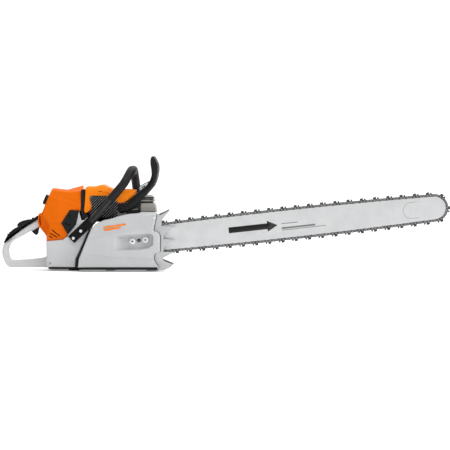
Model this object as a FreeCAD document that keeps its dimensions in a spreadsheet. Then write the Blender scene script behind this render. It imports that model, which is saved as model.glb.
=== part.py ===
"""Heavy professional chainsaw with a long guide bar, as separate pieces in one frame.

Millimetres.  The origin lies on the ground below the crankshaft axis, +X runs toward the
bar nose, the guide bar is on the -Y side, the starter on the +Y side and +Z is up.
"""
import FreeCAD
import Part
import Sketcher
import math
import os
import re

os.makedirs("parts", exist_ok=True)

doc = FreeCAD.newDocument("chainsaw")
sheet = doc.addObject("Spreadsheet::Sheet", "Sizes")

SIZES = {
    # engine
    "crank_height": 86,
    "case_half": 48,
    "web_radius": 36,
    "web_inner": 8,
    "web_outer": 22,
    "journal_radius": 10,
    "bearing_radius": 23.5,
    "shaft_right": 8,
    "shaft_left": 9,
    "deck_height": 137,
    "bore_radius": 30,
    "stroke": 43,
    "rod_length": 72,
    "pin_radius": 6,
    "crankpin_radius": 9.5,
    "fin_half": 41,
    "running_gap": 0.05,
    "clear_gap": 0.3,
    # clutch, sprocket and cover
    "drum_radius": 42,
    "sleeve_radius": 11.5,
    "rim_radius": 17.9,
    "cover_outer": 115,
    "cover_wall": 3,
    # guide bar and chain
    "bar_tilt": 6.26,
    "bar_plane": 75,
    "bar_thick": 4.9,
    "bar_reach": 1010,
    "nose_radius": 34.8,
    "root_half": 37,
    "bar_belly": 5.6,
    "root_start": 130,
    "groove_width": 1.7,
    "groove_depth": 6,
    "stud_radius": 6,
    "stud_back": 72,
    "stud_pitch": 40,
    "wind_radius": 23,
    "rivet_rise": 4.5,
    "strap_thick": 1.7,
    "link_thick": 1.5,
    "adjuster_pin": 3.7,
    # handles and housings
    "tube_radius": 11.5,
    "tube_wall": 2.2,
    "sleeve_wall": 1.8,
    "handle_right": 80,
    "handle_left": 122,
    "handle_top": 312.5,
    "tank_right": 62,
    "tank_left": 72,
    "grip_half": 17,
    "hood_half": 56,
    "shroud_half": 54,
    "guard_near": 57,
    "guard_far": 66,
    "guard_pin": 6,
    "starter_outer": 108,
    "flywheel_radius": 56,
    "pulley_radius": 32,
    "cap_radius": 20,
    "screw_radius": 2.5,
}

for row, (name, value) in enumerate(SIZES.items(), 1):
    sheet.set(f"A{row}", name)
    sheet.set(f"B{row}", str(value))
    sheet.setAlias(f"B{row}", name)
doc.recompute()

WORD = re.compile(r"[a-z][a-z_]*")
WHOLE = FreeCAD.Vector(0, 0, 0)
X_AXIS = FreeCAD.Vector(1, 0, 0)
Y_AXIS = FreeCAD.Vector(0, 1, 0)
Z_AXIS = FreeCAD.Vector(0, 0, 1)


def size(name):
    """One driving dimension as a plain number."""
    return float(sheet.get(name))


def bound(text):
    """An expression in which every size word points at the sheet."""
    return WORD.sub(lambda m: "Sizes." + m[0] if m[0] in SIZES else m[0], str(text))


def body(label, at=WHOLE, axis=Y_AXIS, turn=0.0):
    """An empty body, placed by a point and a turn."""
    new = doc.addObject("PartDesign::Body", label)
    new.Label = label
    new.AllowCompound = True
    new.Placement = FreeCAD.Placement(at, FreeCAD.Rotation(axis, turn))
    return new


def origin_item(host, role):
    """A plane or an axis of the body's own origin."""
    return next(item for item in host.Origin.OriginFeatures if item.Role == role)


def drawing(host, plane, shift, loops=(), circles=()):
    """A sketch on an origin plane whose corners and circles are all driven by expressions."""
    sketch = host.newObject("Sketcher::SketchObject", "outline")
    sketch.AttachmentSupport = [(origin_item(host, plane), "")]
    sketch.MapMode = "FlatFace"
    sketch.setExpression("AttachmentOffset.Base.z", bound(shift))
    driven = []
    rules = []
    for loop in loops:
        first = sketch.GeometryCount
        count = len(loop)
        reach = 10.0 + first
        ring = [FreeCAD.Vector(reach * math.cos(2 * math.pi * i / count),
                               reach * math.sin(2 * math.pi * i / count), 0)
                for i in range(count)]
        sketch.addGeometry([Part.LineSegment(ring[i], ring[(i + 1) % count])
                            for i in range(count)], False)
        for i in range(count):
            rules.append(Sketcher.Constraint("Coincident", first + i, 2,
                                             first + (i + 1) % count, 1))
        for i, (across, up) in enumerate(loop):
            driven.append((len(rules), across))
            rules.append(Sketcher.Constraint("DistanceX", -1, 1, first + i, 1, 1.0))
            driven.append((len(rules), up))
            rules.append(Sketcher.Constraint("DistanceY", -1, 1, first + i, 1, 1.0))
    for across, up, radius in circles:
        item = sketch.addGeometry(Part.Circle(FreeCAD.Vector(3, 3, 0), Z_AXIS, 2), False)
        driven.append((len(rules), across))
        rules.append(Sketcher.Constraint("DistanceX", -1, 1, item, 3, 1.0))
        driven.append((len(rules), up))
        rules.append(Sketcher.Constraint("DistanceY", -1, 1, item, 3, 1.0))
        driven.append((len(rules), radius))
        rules.append(Sketcher.Constraint("Radius", item, 2.0))
    sketch.addConstraint(rules)
    for number, value in driven:
        sketch.setExpression(f"Constraints[{number}]", bound(value))
    return sketch


SHEETWISE = {"XZ_Plane": -1, "XY_Plane": 1, "YZ_Plane": 1}


def add(host, low, high, loops=(), circles=(), plane="XZ_Plane"):
    """Material from the low to the high coordinate, measured square to the plane."""
    start = f"-({high})" if SHEETWISE[plane] < 0 else low
    sketch = drawing(host, plane, start, loops, circles)
    pad = host.newObject("PartDesign::Pad", "pad")
    pad.Profile = sketch
    pad.setExpression("Length", bound(f"({high}) - ({low})"))
    return pad


def cut(host, low, high, loops=(), circles=(), plane="XZ_Plane"):
    """A pocket from the low to the high coordinate, measured square to the plane."""
    start = f"-({low})" if SHEETWISE[plane] < 0 else high
    sketch = drawing(host, plane, start, loops, circles)
    pocket = host.newObject("PartDesign::Pocket", "pocket")
    pocket.Profile = sketch
    pocket.setExpression("Length", bound(f"({high}) - ({low})"))
    return pocket


def turned(label, profile, at=WHOLE, axis="Y_Axis", tilt_axis=Y_AXIS, tilt=0.0):
    """A revolved body: profile pairs are (distance along the axis, radius)."""
    host = body(label, at, tilt_axis, tilt)
    plane = "YZ_Plane"
    corners = profile
    if axis == "Z_Axis":
        plane = "XZ_Plane"
        corners = [(radius, along) for along, radius in profile]
    sketch = drawing(host, plane, 0, [corners])
    turn = host.newObject("PartDesign::Revolution", "turn")
    turn.Profile = sketch
    turn.ReferenceAxis = (origin_item(host, axis), [""])
    turn.Angle = 360
    return host


def box_loop(x0, z0, x1, z1):
    """A rectangle as four corners."""
    return [(x0, z0), (x1, z0), (x1, z1), (x0, z1)]


def held(label, shapes, at=None):
    """A node made of shapes that sketches do not suit, such as bent tubes and rows of links."""
    item = doc.addObject("Part::Feature", label)
    item.Label = label
    item.Shape = Part.makeCompound(shapes) if len(shapes) > 1 else shapes[0]
    if at is not None:
        item.Placement = at
    return item


def rounded(host, pick, radius):
    """A fillet on the edges of the tip that the test picks out."""
    tip = host.Tip
    doc.recompute()
    names = [f"Edge{i + 1}" for i, edge in enumerate(tip.Shape.Edges) if pick(edge)]
    fillet = host.newObject("PartDesign::Fillet", "round")
    fillet.Base = (tip, names)
    fillet.setExpression("Radius", bound(radius))
    return fillet


def crosswise(low_x, high_x, low_z, high_z):
    """A test for straight edges that run along Y inside a window of X and Z."""
    def pick(edge):
        if edge.Curve.TypeId != "Part::GeomLine":
            return False
        middle = edge.CenterOfMass
        inside = low_x <= middle.x <= high_x and low_z <= middle.z <= high_z
        return inside and abs(edge.tangentAt(edge.FirstParameter).y) > 0.99
    return pick


CRANK = FreeCAD.Vector(0, 0, size("crank_height"))


def bar_placement():
    """The frame of the guide bar: origin on the crankshaft axis, X along the bar."""
    return FreeCAD.Placement(CRANK, FreeCAD.Rotation(Y_AXIS, -size("bar_tilt")))


def bar_body(label):
    """An empty body laid in the frame of the guide bar."""
    new = body(label)
    new.Placement = bar_placement()
    return new


# ---------------------------------------------------------------- crankcase and crank train

CASE = [(-92, 3), (-90, 38), (-61, 110), (-53, 128), (-46, "deck_height"),
        (54, "deck_height"), (60, 174), (141, 174), (141, 140), (136, 128), (150, 120),
        (150, 60), (137, 52), (137, 36), (150, 14), (152, 3)]


def crankcase(label, side):
    """One half of the magnesium crankcase, with feet, bearing seat, tank and guard pivot."""
    def span(near, far):
        return (near, far) if side > 0 else (f"-({far})", f"-({near})")
    half = body(label)
    low, high = span("0", "case_half")
    add(half, low, high, [CASE])
    for foot in (box_loop(112, 0, 151, 4), box_loop(-14, 0, 14, 4)):
        add(half, low, high, [foot])
    low, high = span("0", "web_outer + 0.5")
    cut(half, low, high, circles=[(0, "crank_height", "web_radius + 2")])
    low, high = span("web_outer + 0.5", "web_outer + 2")
    cut(half, low, high, circles=[(0, "crank_height", "bearing_radius - 3")])
    low, high = span("web_outer + 2", "web_outer + 16")
    cut(half, low, high, circles=[(0, "crank_height", "bearing_radius")])
    low, high = span("web_outer + 16", "case_half")
    cut(half, low, high, circles=[(0, "crank_height", "journal_radius + 2")])
    cut(half, "crank_height + 26", "deck_height", circles=[(0, 0, "bore_radius + 3.3")],
        plane="XY_Plane")
    low, high = span("0", "20")
    cut(half, low, high, [[(62, 22), (132, 22), (128, 48), (128, 130), (132, 164),
                           (68, 164), (62, 120)]])
    lug = [(20, "deck_height - 4"), (54, "deck_height - 4"), (50, 192), (44, 201),
           (30, 201), (24, 192)]
    low, high = span("case_half - 3", "case_half")
    add(half, low, high, [lug])
    low, high = span("case_half", "guard_far")
    add(half, low, high, circles=[(37, 192, "guard_pin")])
    if side < 0:
        add(half, "-(bar_plane - bar_thick / 2 - 0.3)", "-case_half",
            [[(58, 64), (134, 72), (134, 128), (66, 120), (58, 108)]])
        for number in (0, 1):
            along = f"(stud_back + {number} * stud_pitch)"
            cut(half, "-(bar_plane - bar_thick / 2 - 0.3)", "-52",
                circles=[(f"{along} * cos(bar_tilt)",
                          f"crank_height + {along} * sin(bar_tilt)", "stud_radius")])
    else:
        cut(half, "case_half - 14", "case_half", circles=[(106, 52, "cap_radius - 5")])
    return half


def main_bearings():
    """The two ball bearings of the crankshaft, as rings pressed into the case."""
    node = doc.addObject("Part::Compound", "main_bearings")
    rings = []
    for number, near in enumerate(("web_outer + 2", "-(web_outer + 16)")):
        ring = turned(f"bearing_ring_{number}", [
            (near, "journal_radius + running_gap"), (f"{near} + 14", "journal_radius + running_gap"),
            (f"{near} + 14", "bearing_radius - 5"), (f"{near} + 13", "bearing_radius - 5"),
            (f"{near} + 13", "bearing_radius - 2.5"), (f"{near} + 14", "bearing_radius - 2.5"),
            (f"{near} + 14", "bearing_radius"), (near, "bearing_radius")], CRANK)
        rings.append(ring)
    node.Links = rings
    return node


def crankshaft():
    """Both halves of the built-up crankshaft, each a stepped shaft with its disc web."""
    node = doc.addObject("Part::Compound", "crankshaft")
    right = turned("crank_right", [
        ("-web_inner", 0), ("-web_inner", "web_radius"), ("-web_outer", "web_radius"),
        ("-web_outer", "journal_radius + 4"), ("-web_outer - 2", "journal_radius + 4"),
        ("-web_outer - 2", "journal_radius"), ("-web_outer - 16", "journal_radius"),
        ("-web_outer - 16", "journal_radius - 0.5"), (-53, "journal_radius - 0.5"),
        (-53, "shaft_right"), (-87, "shaft_right"), (-88, "shaft_right - 1"), (-88, 0)], CRANK)
    left = turned("crank_left", [
        ("web_inner", 0), ("web_inner", "web_radius"), ("web_outer", "web_radius"),
        ("web_outer", "journal_radius + 4"), ("web_outer + 2", "journal_radius + 4"),
        ("web_outer + 2", "journal_radius"), ("web_outer + 16", "journal_radius"),
        ("web_outer + 16", "journal_radius - 0.5"), (52, "journal_radius - 0.5"),
        (52, "shaft_left"), (76, "shaft_left"), (76, 12), (84, 12), (84, 0)], CRANK)
    node.Links = [right, left]
    return node


def flywheel():
    """Cast flywheel with fan blades on its outer face and a magnet block in the rim."""
    wheel = turned("flywheel", [
        (54, "shaft_left"), (54, 20), (57, 24), (57, "flywheel_radius - 6"),
        (53, "flywheel_radius - 6"), (53, "flywheel_radius"), (64, "flywheel_radius"),
        (64, "flywheel_radius - 3"), (62, "flywheel_radius - 8"), (62, 24), (76, 18),
        (76, "shaft_left")], CRANK)
    blade = add(wheel, 60, 77, [[("flywheel_radius - 34", -1.5), ("flywheel_radius - 12", 2),
                                 ("flywheel_radius - 2", 8), ("flywheel_radius - 1", 10),
                                 ("flywheel_radius - 13", 5), ("flywheel_radius - 34", 1.5)]])
    fan = wheel.newObject("PartDesign::PolarPattern", "fan")
    fan.Originals = [blade]
    fan.Axis = (origin_item(wheel, "Y_Axis"), [""])
    fan.Angle = 360
    fan.Occurrences = 14
    wheel.Tip = fan
    return wheel


def cylinder():
    """Finned cylinder with bore, flange, intake and exhaust stubs and a slanted plug hole."""
    barrel = body("cylinder")
    add(barrel, "deck_height - 12", "deck_height", circles=[(0, 0, "bore_radius + 3")],
        plane="XY_Plane")
    add(barrel, "deck_height", "deck_height + 7",
        [box_loop("-fin_half", "-fin_half", "fin_half", "fin_half")], plane="XY_Plane")
    add(barrel, "deck_height + 7", "deck_height + 89.4", circles=[(0, 0, "bore_radius + 5")], plane="XY_Plane")
    for number in range(9):
        base = f"deck_height + 15 + {number} * 9"
        add(barrel, base, f"{base} + 2.4",
            [box_loop(-48, "-fin_half", 48, "fin_half")], plane="XY_Plane")
    rounded(barrel, lambda e: e.Curve.TypeId == "Part::GeomLine" and e.CenterOfMass.z > 150
            and abs(e.tangentAt(e.FirstParameter).z) > 0.99 and abs(e.CenterOfMass.x) > 47, "9")
    add(barrel, 30, 60, [box_loop(-22, 176, 22, 206)], plane="YZ_Plane")
    add(barrel, -60, -30, circles=[(0, 170, 15)], plane="YZ_Plane")
    cut(barrel, "deck_height - 16", "deck_height + 69", circles=[(0, 0, "bore_radius")],
        plane="XY_Plane")
    cut(barrel, 20, 61, [box_loop(-15, 180, 15, 201)], plane="YZ_Plane")
    cut(barrel, -61, -20, circles=[(0, 170, 11)], plane="YZ_Plane")
    for x in (-38, 38):
        for y in (-34, 34):
            cut(barrel, "deck_height", "deck_height + 7", circles=[(x, y, "screw_radius")],
                plane="XY_Plane")
    doc.recompute()
    for radius, start in ((6, -6), (12.5, 24)):
        drill = barrel.newObject("PartDesign::SubtractiveCylinder", "plug_hole")
        drill.AttachmentSupport = [(origin_item(barrel, "XY_Plane"), "")]
        drill.MapMode = "FlatFace"
        drill.AttachmentOffset = PLUG.multiply(FreeCAD.Placement(
            FreeCAD.Vector(0, 0, start), FreeCAD.Rotation()))
        drill.Radius = radius
        drill.Height = 40
        barrel.Tip = drill
    return barrel


PLUG_LEAN = -40.0
PLUG_SEAT = FreeCAD.Vector(-2, 0, 205.5)
PLUG = FreeCAD.Placement(PLUG_SEAT, FreeCAD.Rotation(Y_AXIS, PLUG_LEAN))


def spark_plug():
    """Spark plug: threaded shell, hexagon collar, insulator and terminal."""
    plug = turned("spark_plug", [
        (7, 0), (7, 6), (24, 6), (24, 9), (31, 9), (32, 7), (34, 5), (45, 4.2),
        (46, 2.8), (51, 2.8), (51, 0)], PLUG_SEAT, "Z_Axis", Y_AXIS, PLUG_LEAN)
    return plug


def swept(points, radius, bend):
    """A round bar along corner points, with every corner bent to the given radius."""
    corners = [FreeCAD.Vector(*p) for p in points]
    edges = []
    last = corners[0]
    for before, here, after in zip(corners, corners[1:], corners[2:]):
        back = (before - here).normalize()
        ahead = (after - here).normalize()
        half = back.getAngle(ahead) / 2
        leg = min(bend / math.tan(half), 0.49 * (before - here).Length,
                  0.49 * (after - here).Length)
        start = here + back * leg
        finish = here + ahead * leg
        middle_way = (back + ahead).normalize()
        curve = leg * math.tan(half)
        middle = here + middle_way * (leg / math.cos(half) - curve)
        edges.append(Part.makeLine(last, start))
        edges.append(Part.Arc(start, middle, finish).toShape())
        last = finish
    edges.append(Part.makeLine(last, corners[-1]))
    path = Part.Wire(edges)
    ring = Part.makeCircle(radius, corners[0], corners[1] - corners[0])
    return path.makePipeShell([Part.Wire([ring])], True, True)


def plug_lead():
    """Rubber boot over the plug with the ignition lead moulded to it."""
    boot = Part.makeCylinder(8, 21, WHOLE, Z_AXIS)
    boot = boot.cut(Part.makeCylinder(5.2, 12, WHOLE, Z_AXIS))
    boot = boot.cut(Part.makeCylinder(2.8, 16, WHOLE, Z_AXIS))
    boot.Placement = FreeCAD.Placement(PLUG.multVec(FreeCAD.Vector(0, 0, 35.5)),
                                       FreeCAD.Rotation(Y_AXIS, PLUG_LEAN))
    top = PLUG.multVec(FreeCAD.Vector(0, 4, 53))
    lead = swept([tuple(top), (top.x, 30, top.z), (-30, 44.8, 234), (-16, 44.8, 200),
                  (4, 44.8, 170), (4, 44.8, 150), (4, 54, 150)], 2.8, 7)
    return held("plug_lead", [boot.fuse(lead).removeSplitter()])


def ignition_module():
    """Coil block on its laminated core beside the flywheel rim, with a lead tower."""
    coil = body("ignition_module")
    top = "crank_height + flywheel_radius + 1"
    add(coil, 56, 64, [box_loop(-9, top, -2, f"{top} + 6"),
                       box_loop(24, f"{top} - 6", 32, f"{top} + 6")])
    add(coil, 54, 74, [box_loop(-9, f"{top} + 3", 32, f"{top} + 11")])
    return coil


def piston():
    """Piston with crown, ring grooves and wrist pin bore."""
    pin = "(crank_height + stroke / 2 + rod_length)"
    wall = "bore_radius - running_gap"
    skirt = turned("piston", [
        (f"{pin} - 13", "bore_radius - 4"), (f"{pin} - 13", wall), (f"{pin} + 15", wall),
        (f"{pin} + 15", "bore_radius - 2"), (f"{pin} + 16.5", "bore_radius - 2"),
        (f"{pin} + 16.5", wall), (f"{pin} + 19", wall), (f"{pin} + 19", "bore_radius - 2"),
        (f"{pin} + 20.5", "bore_radius - 2"), (f"{pin} + 20.5", wall), (f"{pin} + 24", wall),
        (f"{pin} + 25", 12), (f"{pin} + 25", 0), (f"{pin} + 17", 0),
        (f"{pin} + 13", "bore_radius - 4")], WHOLE, "Z_Axis")
    cut(skirt, "-bore_radius", "bore_radius", circles=[(0, pin, "pin_radius")])
    return skirt


def wrist_pin():
    """Hollow pin through the piston and the small end."""
    pin = body("wrist_pin")
    middle = "crank_height + stroke / 2 + rod_length"
    add(pin, "-(bore_radius - 2)", "bore_radius - 2", circles=[(0, middle, "pin_radius"),
                                                             (0, middle, "pin_radius - 2.5")])
    return pin


def connecting_rod():
    """Connecting rod around its crankpin, at top dead centre."""
    node = doc.addObject("Part::Compound", "connecting_rod")
    big = "crank_height + stroke / 2"
    small = "crank_height + stroke / 2 + rod_length"
    rod = body("rod_forging")
    add(rod, -5.5, 5.5, circles=[(0, big, "crankpin_radius + 6")])
    add(rod, -5.5, 5.5, circles=[(0, small, "pin_radius + 4")])
    add(rod, -4, 4, [[(-7, f"{big} + 12"), (7, f"{big} + 12"), (5, f"{small} - 7"),
                      (-5, f"{small} - 7")]])
    cut(rod, -6, 6, circles=[(0, big, "crankpin_radius"), (0, small, "pin_radius")])
    pin = body("crankpin")
    add(pin, "-(web_inner - clear_gap)", "web_inner - clear_gap",
        circles=[(0, big, "crankpin_radius")])
    node.Links = [rod, pin]
    return node


# ---------------------------------------------------------------- exhaust, carburettor, filter

def muffler():
    """Sheet-metal muffler with sloping front, outlet slots and inlet port."""
    shell = body("muffler")
    add(shell, -46, 46, [[(62, 181), (144, 181), (139.5, 211), (133, 232), (128, 234.5),
                          (66, 234.5), (62, 230)]])
    rounded(shell, crosswise(120, 145, 205, 236), "2.5")
    cut(shell, -44.5, 44.5, [[(63.5, 182.5), (142, 182.5), (138, 210), (131.5, 231),
                              (127, 233), (67, 233), (63.5, 229)]])
    cut(shell, -47, -40, [box_loop(105, 225, 127, 231), box_loop(98, 209.5, 131, 215)])
    cut(shell, 60, 64, [box_loop(-15, 183, 15, 201)], plane="YZ_Plane")
    flange = add(shell, 60, 62, [box_loop(-22, 182.5, 22, 206), box_loop(-15, 183.5, 15, 201)],
                 plane="YZ_Plane")
    shell.Tip = flange
    return shell


def carburettor():
    """Carburettor block with its venturi, pump cover and shaft bore."""
    carb = body("carburettor")
    add(carb, -20, 20, [box_loop(-138, 150, -96, 190)])
    add(carb, -15, 15, [box_loop(-134, 144, -100, 150), box_loop(-134, 190, -100, 196)])
    cut(carb, -139, -95, circles=[(0, 170, 12)], plane="YZ_Plane")
    cut(carb, -20.5, 20.5, circles=[(-112, 170, 3.05)])
    return carb


def throttle_valve():
    """Butterfly and its shaft, with the lever outside the carburettor."""
    valve = body("throttle_valve", FreeCAD.Vector(-112, 0, 170))
    add(valve, -28, 22, circles=[(0, 0, 3)])
    add(valve, -0.7, 0.7, circles=[(0, 0, 11.7)], plane="YZ_Plane")
    add(valve, -27, -24, [[(-4, -4), (4, -4), (5, 14), (-2, 15)]])
    return valve


def intake_boot():
    """Rubber elbow between the carburettor and the intake stub."""
    boot = body("intake_boot")
    add(boot, -96, -60, circles=[(0, 170, 15), (0, 170, 12)], plane="YZ_Plane")
    add(boot, -78, -60, circles=[(0, 170, 16), (0, 170, 15)], plane="YZ_Plane")
    return boot


def air_filter():
    """Pleated filter element on its base, open toward the carburettor."""
    element = body("air_filter")
    add(element, -42, 42, [[(-187, 121), (-142, 121), (-142, 228), (-166, 228), (-187, 190)]])
    cut(element, -36, 36, [[(-180, 127), (-148, 127), (-148, 220), (-164, 220), (-180, 190)]])
    cut(element, -150, -141, circles=[(0, 170, 12)], plane="YZ_Plane")
    add(element, -142, -138, circles=[(0, 170, 16), (0, 170, 12)], plane="YZ_Plane")
    return element


HOOD = [(-228, 150), (-225, 173), (-221.5, 178), (-214, 175.5), (-180, 256), (-136, 251),
        (-87, 265), (-90.3, 251), (-92, 188), (-126, 189), (-152, 148), (-131.5, 112),
        (-146, 98), (-200, 92.5), (-200, 107), (-223, 136.5)]


def filter_cover():
    """The rear hood over the air filter: a thin shell open toward the cylinder."""
    hood = body("filter_cover")
    add(hood, "-hood_half", "hood_half", [HOOD])
    rounded(hood, crosswise(-182, -178, 250, 260), "4")
    cut(hood, "-(hood_half - cover_wall)", "hood_half - cover_wall",
        [[(-222, 150), (-219.5, 170), (-211, 172), (-177.5, 252.5), (-136, 247.5), (-80, 261),
          (-80, 90), (-197, 90), (-197, 108), (-219.5, 138)]])
    cut(hood, "-(grip_half + 0.6)", "grip_half + 0.6",
        [[(-232, 130), (-206, 88), (-189, 88), (-189, 170), (-232, 174)]])
    for number in range(3):
        shift = f"{number} * 9"
        cut(hood, "-hood_half - 1", "-(hood_half - cover_wall - 1)",
            [[(f"-178 - {number} * 5", f"127 - {shift}"), (f"-152 - {number} * 9",
                                                          f"107 - {number} * 3"),
              (f"-155 - {number} * 9", f"105 - {number} * 3"),
              (f"-180 - {number} * 5", f"123.5 - {shift}")]])
    return hood


KNOB_LEAN = -67.2


def filter_knob():
    """Turn knob of the filter hood, with a ring of finger flats."""
    knob = turned("filter_knob", [
        (0.3, 0), (0.3, 15), (1, 15.5), (8, 15.5), (9.8, 13.5), (9.8, 4), (8.5, 0)],
        FreeCAD.Vector(-196.4, 0, 217.2), "Z_Axis", Y_AXIS, KNOB_LEAN)
    return knob


def side_panel():
    """Five-sided panel in the right side of the carburettor box, with adjusting holes."""
    panel = body("side_panel")
    add(panel, "-(hood_half + 2)", "-(hood_half - 1.2)",
        [[(-125.6, 188.3), (-96, 186.6), (-105.4, 144), (-130.8, 112.6), (-151.2, 148)]])
    cut(panel, "-(hood_half + 3)", "-(hood_half - 2)",
        circles=[(-124, 170.5, 3.6), (-136.4, 146.3, 3), (-127, 142.6, 3)])
    return panel


# ---------------------------------------------------------------- upper covers

SHROUD = [(-80, 253), (-73, 262), (-46, 262), (-34, 266.5), (-18.5, 268), (9, 254.3),
          (40, 253.5), (59, 253), (79, 250), (77.5, 232.5), (56, 214), (40, 207), (23, 207),
          (15.5, 215.5), (-3, 232.5), (-54, 232.5), (-57.5, 228), (-60.5, 217), (-53, 191),
          (-65, 180), (-77.5, 176.7), (-83.7, 186), (-79, 220)]


def top_shroud():
    """Cover over the cylinder that guides the cooling air."""
    shroud = body("top_shroud")
    add(shroud, "-shroud_half", "shroud_half", [SHROUD])
    rounded(shroud, crosswise(-20, 82, 245, 270), "4")
    cut(shroud, "-(shroud_half - cover_wall)", "shroud_half - cover_wall",
        [[(-78, 150), (-90, 186), (-75.8, 220), (-76.8, 251), (-71.5, 258.5), (-45.5, 258.5),
          (-33, 263), (-19, 264.5), (8, 251), (58, 249.6), (75.5, 247), (75, 236), (90, 236),
          (90, 150)]])
    return shroud


def shroud_partition():
    """Bulkhead between the hot cylinder side and the filter side."""
    wall = body("shroud_partition")
    add(wall, -53, 53, [[(-89.6, 252.5), (-80, 252.5), (-79, 220), (-83.7, 186),
                         (-77.5, 176.7), (-68, 173.5), (-66, 168.5), (-84, 158.5),
                         (-91.2, 187)]])
    cut(wall, -95, -60, circles=[(0, 170, 16.2)], plane="YZ_Plane")
    return wall


# ---------------------------------------------------------------- tank housing and rear handle

def tank_housing():
    """Fuel tank block, carburettor floor and the closed rear handle in one casting."""
    tank = body("tank_housing")
    add(tank, "-tank_right", "tank_left",
        [[(-195, 11), (-107, 11), (-105.4, 37), (-94.5, 59), (-82.5, 87), (-69.5, 115),
          (-64, 127), (-58, 143), (-68, 166), (-130, 109.5), (-146, 97.5), (-198, 92),
          (-197, 46)]])
    cut(tank, -54, 64, [[(-128, 103), (-40, 103), (-40, 190), (-128, 190)]])
    cut(tank, "-(tank_right - 4)", "tank_left - 4",
        [[(-190, 16), (-112, 16), (-110, 38), (-99, 62), (-88, 87), (-84, 96), (-134, 96),
          (-190, 87)]])
    add(tank, "-(hood_half - 1.2)", "-(hood_half - 7)",
        [[(-127, 106), (-127, 186), (-96.5, 186.5), (-88.5, 158), (-80, 152), (-100, 106)]])
    handle = [(-334.8, 83.7), (-339.5, 72), (-341, 62), (-341, 46.5), (-335, 28), (-329, 15.5),
              (-319, 8.4), (-194, 8.4), (-194, 92), (-150, 92), (-150, 112), (-186, 118),
              (-204, 160), (-226, 160), (-248, 146), (-279, 127), (-310, 105.5)]
    loop = [(-252.7, 121.5), (-279, 105.4), (-303.8, 91.5), (-313, 82), (-317.8, 71.3),
            (-318.7, 62), (-316.2, 43.4), (-309, 31.8), (-279, 33), (-248, 36), (-217, 38.8),
            (-203, 42.5), (-197.5, 50), (-198.4, 92), (-204, 108), (-221, 137)]
    add(tank, "-grip_half", "grip_half", [handle, loop])
    cut(tank, "-9.5", "9.5", [[(-268, 116), (-230, 108), (-214, 148), (-252, 146.5)]])
    cut(tank, "-9.8", "9.8", [[(-294, 121.5), (-244, 140), (-238, 147), (-240, 160),
                               (-300, 140)]])
    for hinge_x, hinge_z in ((-230, 141), (-248, 150)):
        cut(tank, -13, 13, circles=[(hinge_x, hinge_z, "2 + running_gap")])
    cut(tank, "grip_half - 5.5", "grip_half", circles=[(-242, 137, "3 + running_gap")])
    cut(tank, "tank_left - 5", "tank_left", circles=[(-150, 52, "cap_radius - 5")])
    return tank


def grip_cover():
    """Black upper shell of the rear grip, with a slot for the lockout lever."""
    cover = body("grip_cover")
    add(cover, "-(grip_half + 0.4)", "grip_half + 0.4",
        [[(-335, 83.9), (-330.5, 96), (-325.5, 105.4), (-316, 117.8), (-304, 128.7),
          (-293, 135), (-240, 162), (-226.5, 171), (-226.5, 160.2), (-248, 146.2),
          (-279, 127.2), (-310, 105.7)]])
    cut(cover, -9.8, 9.8, [[(-294, 118), (-240, 140), (-240, 175), (-294, 160)]])
    cut(cover, -13, 13, circles=[(-248, 150, "2 + running_gap")])
    return cover


def throttle_trigger():
    """Throttle trigger hung from its cross pin under the rear grip."""
    trigger = body("throttle_trigger", FreeCAD.Vector(-230, 0, 141))
    add(trigger, -8.5, 8.5, [[(-19, -9), (-22.5, -16), (-8.7, -29.4), (-2.5, -32), (2, -27),
                              (4.5, -13), (7, -5), (4, 3.5), (-4, 3.5), (-8, -3)]])
    rounded(trigger, lambda e: e.Curve.TypeId == "Part::GeomLine"
            and abs(e.tangentAt(e.FirstParameter).y) > 0.99 and e.CenterOfMass.z < -14, "1.5")
    add(trigger, -12.5, 12.5, circles=[(0, 0, 2)])
    return trigger


def throttle_lockout():
    """Safety lever on top of the grip, hinged at its front end."""
    lever = body("throttle_lockout", FreeCAD.Vector(-248, 0, 150))
    add(lever, -9.2, 9.2, [[(-45, -14), (-45, -7.5), (-40, -1.3), (-31, 3.5), (-15.5, 7.6),
                            (-3, 8.8), (4, 7), (5, 0), (0, -5), (-12, -9)]])
    rounded(lever, lambda e: e.Curve.TypeId == "Part::GeomLine"
            and abs(e.tangentAt(e.FirstParameter).y) > 0.99 and e.CenterOfMass.z > 2, "2")
    add(lever, -12.5, 12.5, circles=[(0, 0, 2)])
    return lever


def control_lever():
    """Combined choke and stop lever on the left of the grip front."""
    lever = body("control_lever", FreeCAD.Vector(-242, 0, 137))
    add(lever, "grip_half + 0.3", "grip_half + 6", circles=[(0, 0, 6)])
    add(lever, "grip_half + 1.5", "grip_half + 6",
        [[(-3, -3), (3, -3), (0.5, 25), (-5, 27), (-9, 24)]])
    add(lever, "grip_half - 5", "grip_half + 0.3", circles=[(0, 0, 3)])
    return lever


# ---------------------------------------------------------------- front handle and hand guard

def tube_points():
    """Corner points of the front handle, from the right bracket round to the left rear."""
    right = -size("handle_right")
    left = size("handle_left")
    top = size("handle_top")
    return [(-57, right, 152), (44, right, top - 42), (66, right + 30, top),
            (68, left - 42, top), (74, left, top - 56), (74, left, 96), (42, left, 40),
            (-72, left, 27), (-118, size("tank_left") + 8.2, 27)]


def handle_tube():
    """Bent steel tube of the front handle."""
    outer = swept(tube_points(), size("tube_radius"), 42)
    inner = swept(tube_points(), size("tube_radius") - size("tube_wall"), 42)
    return held("handle_tube", [outer.cut(inner)])


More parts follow.
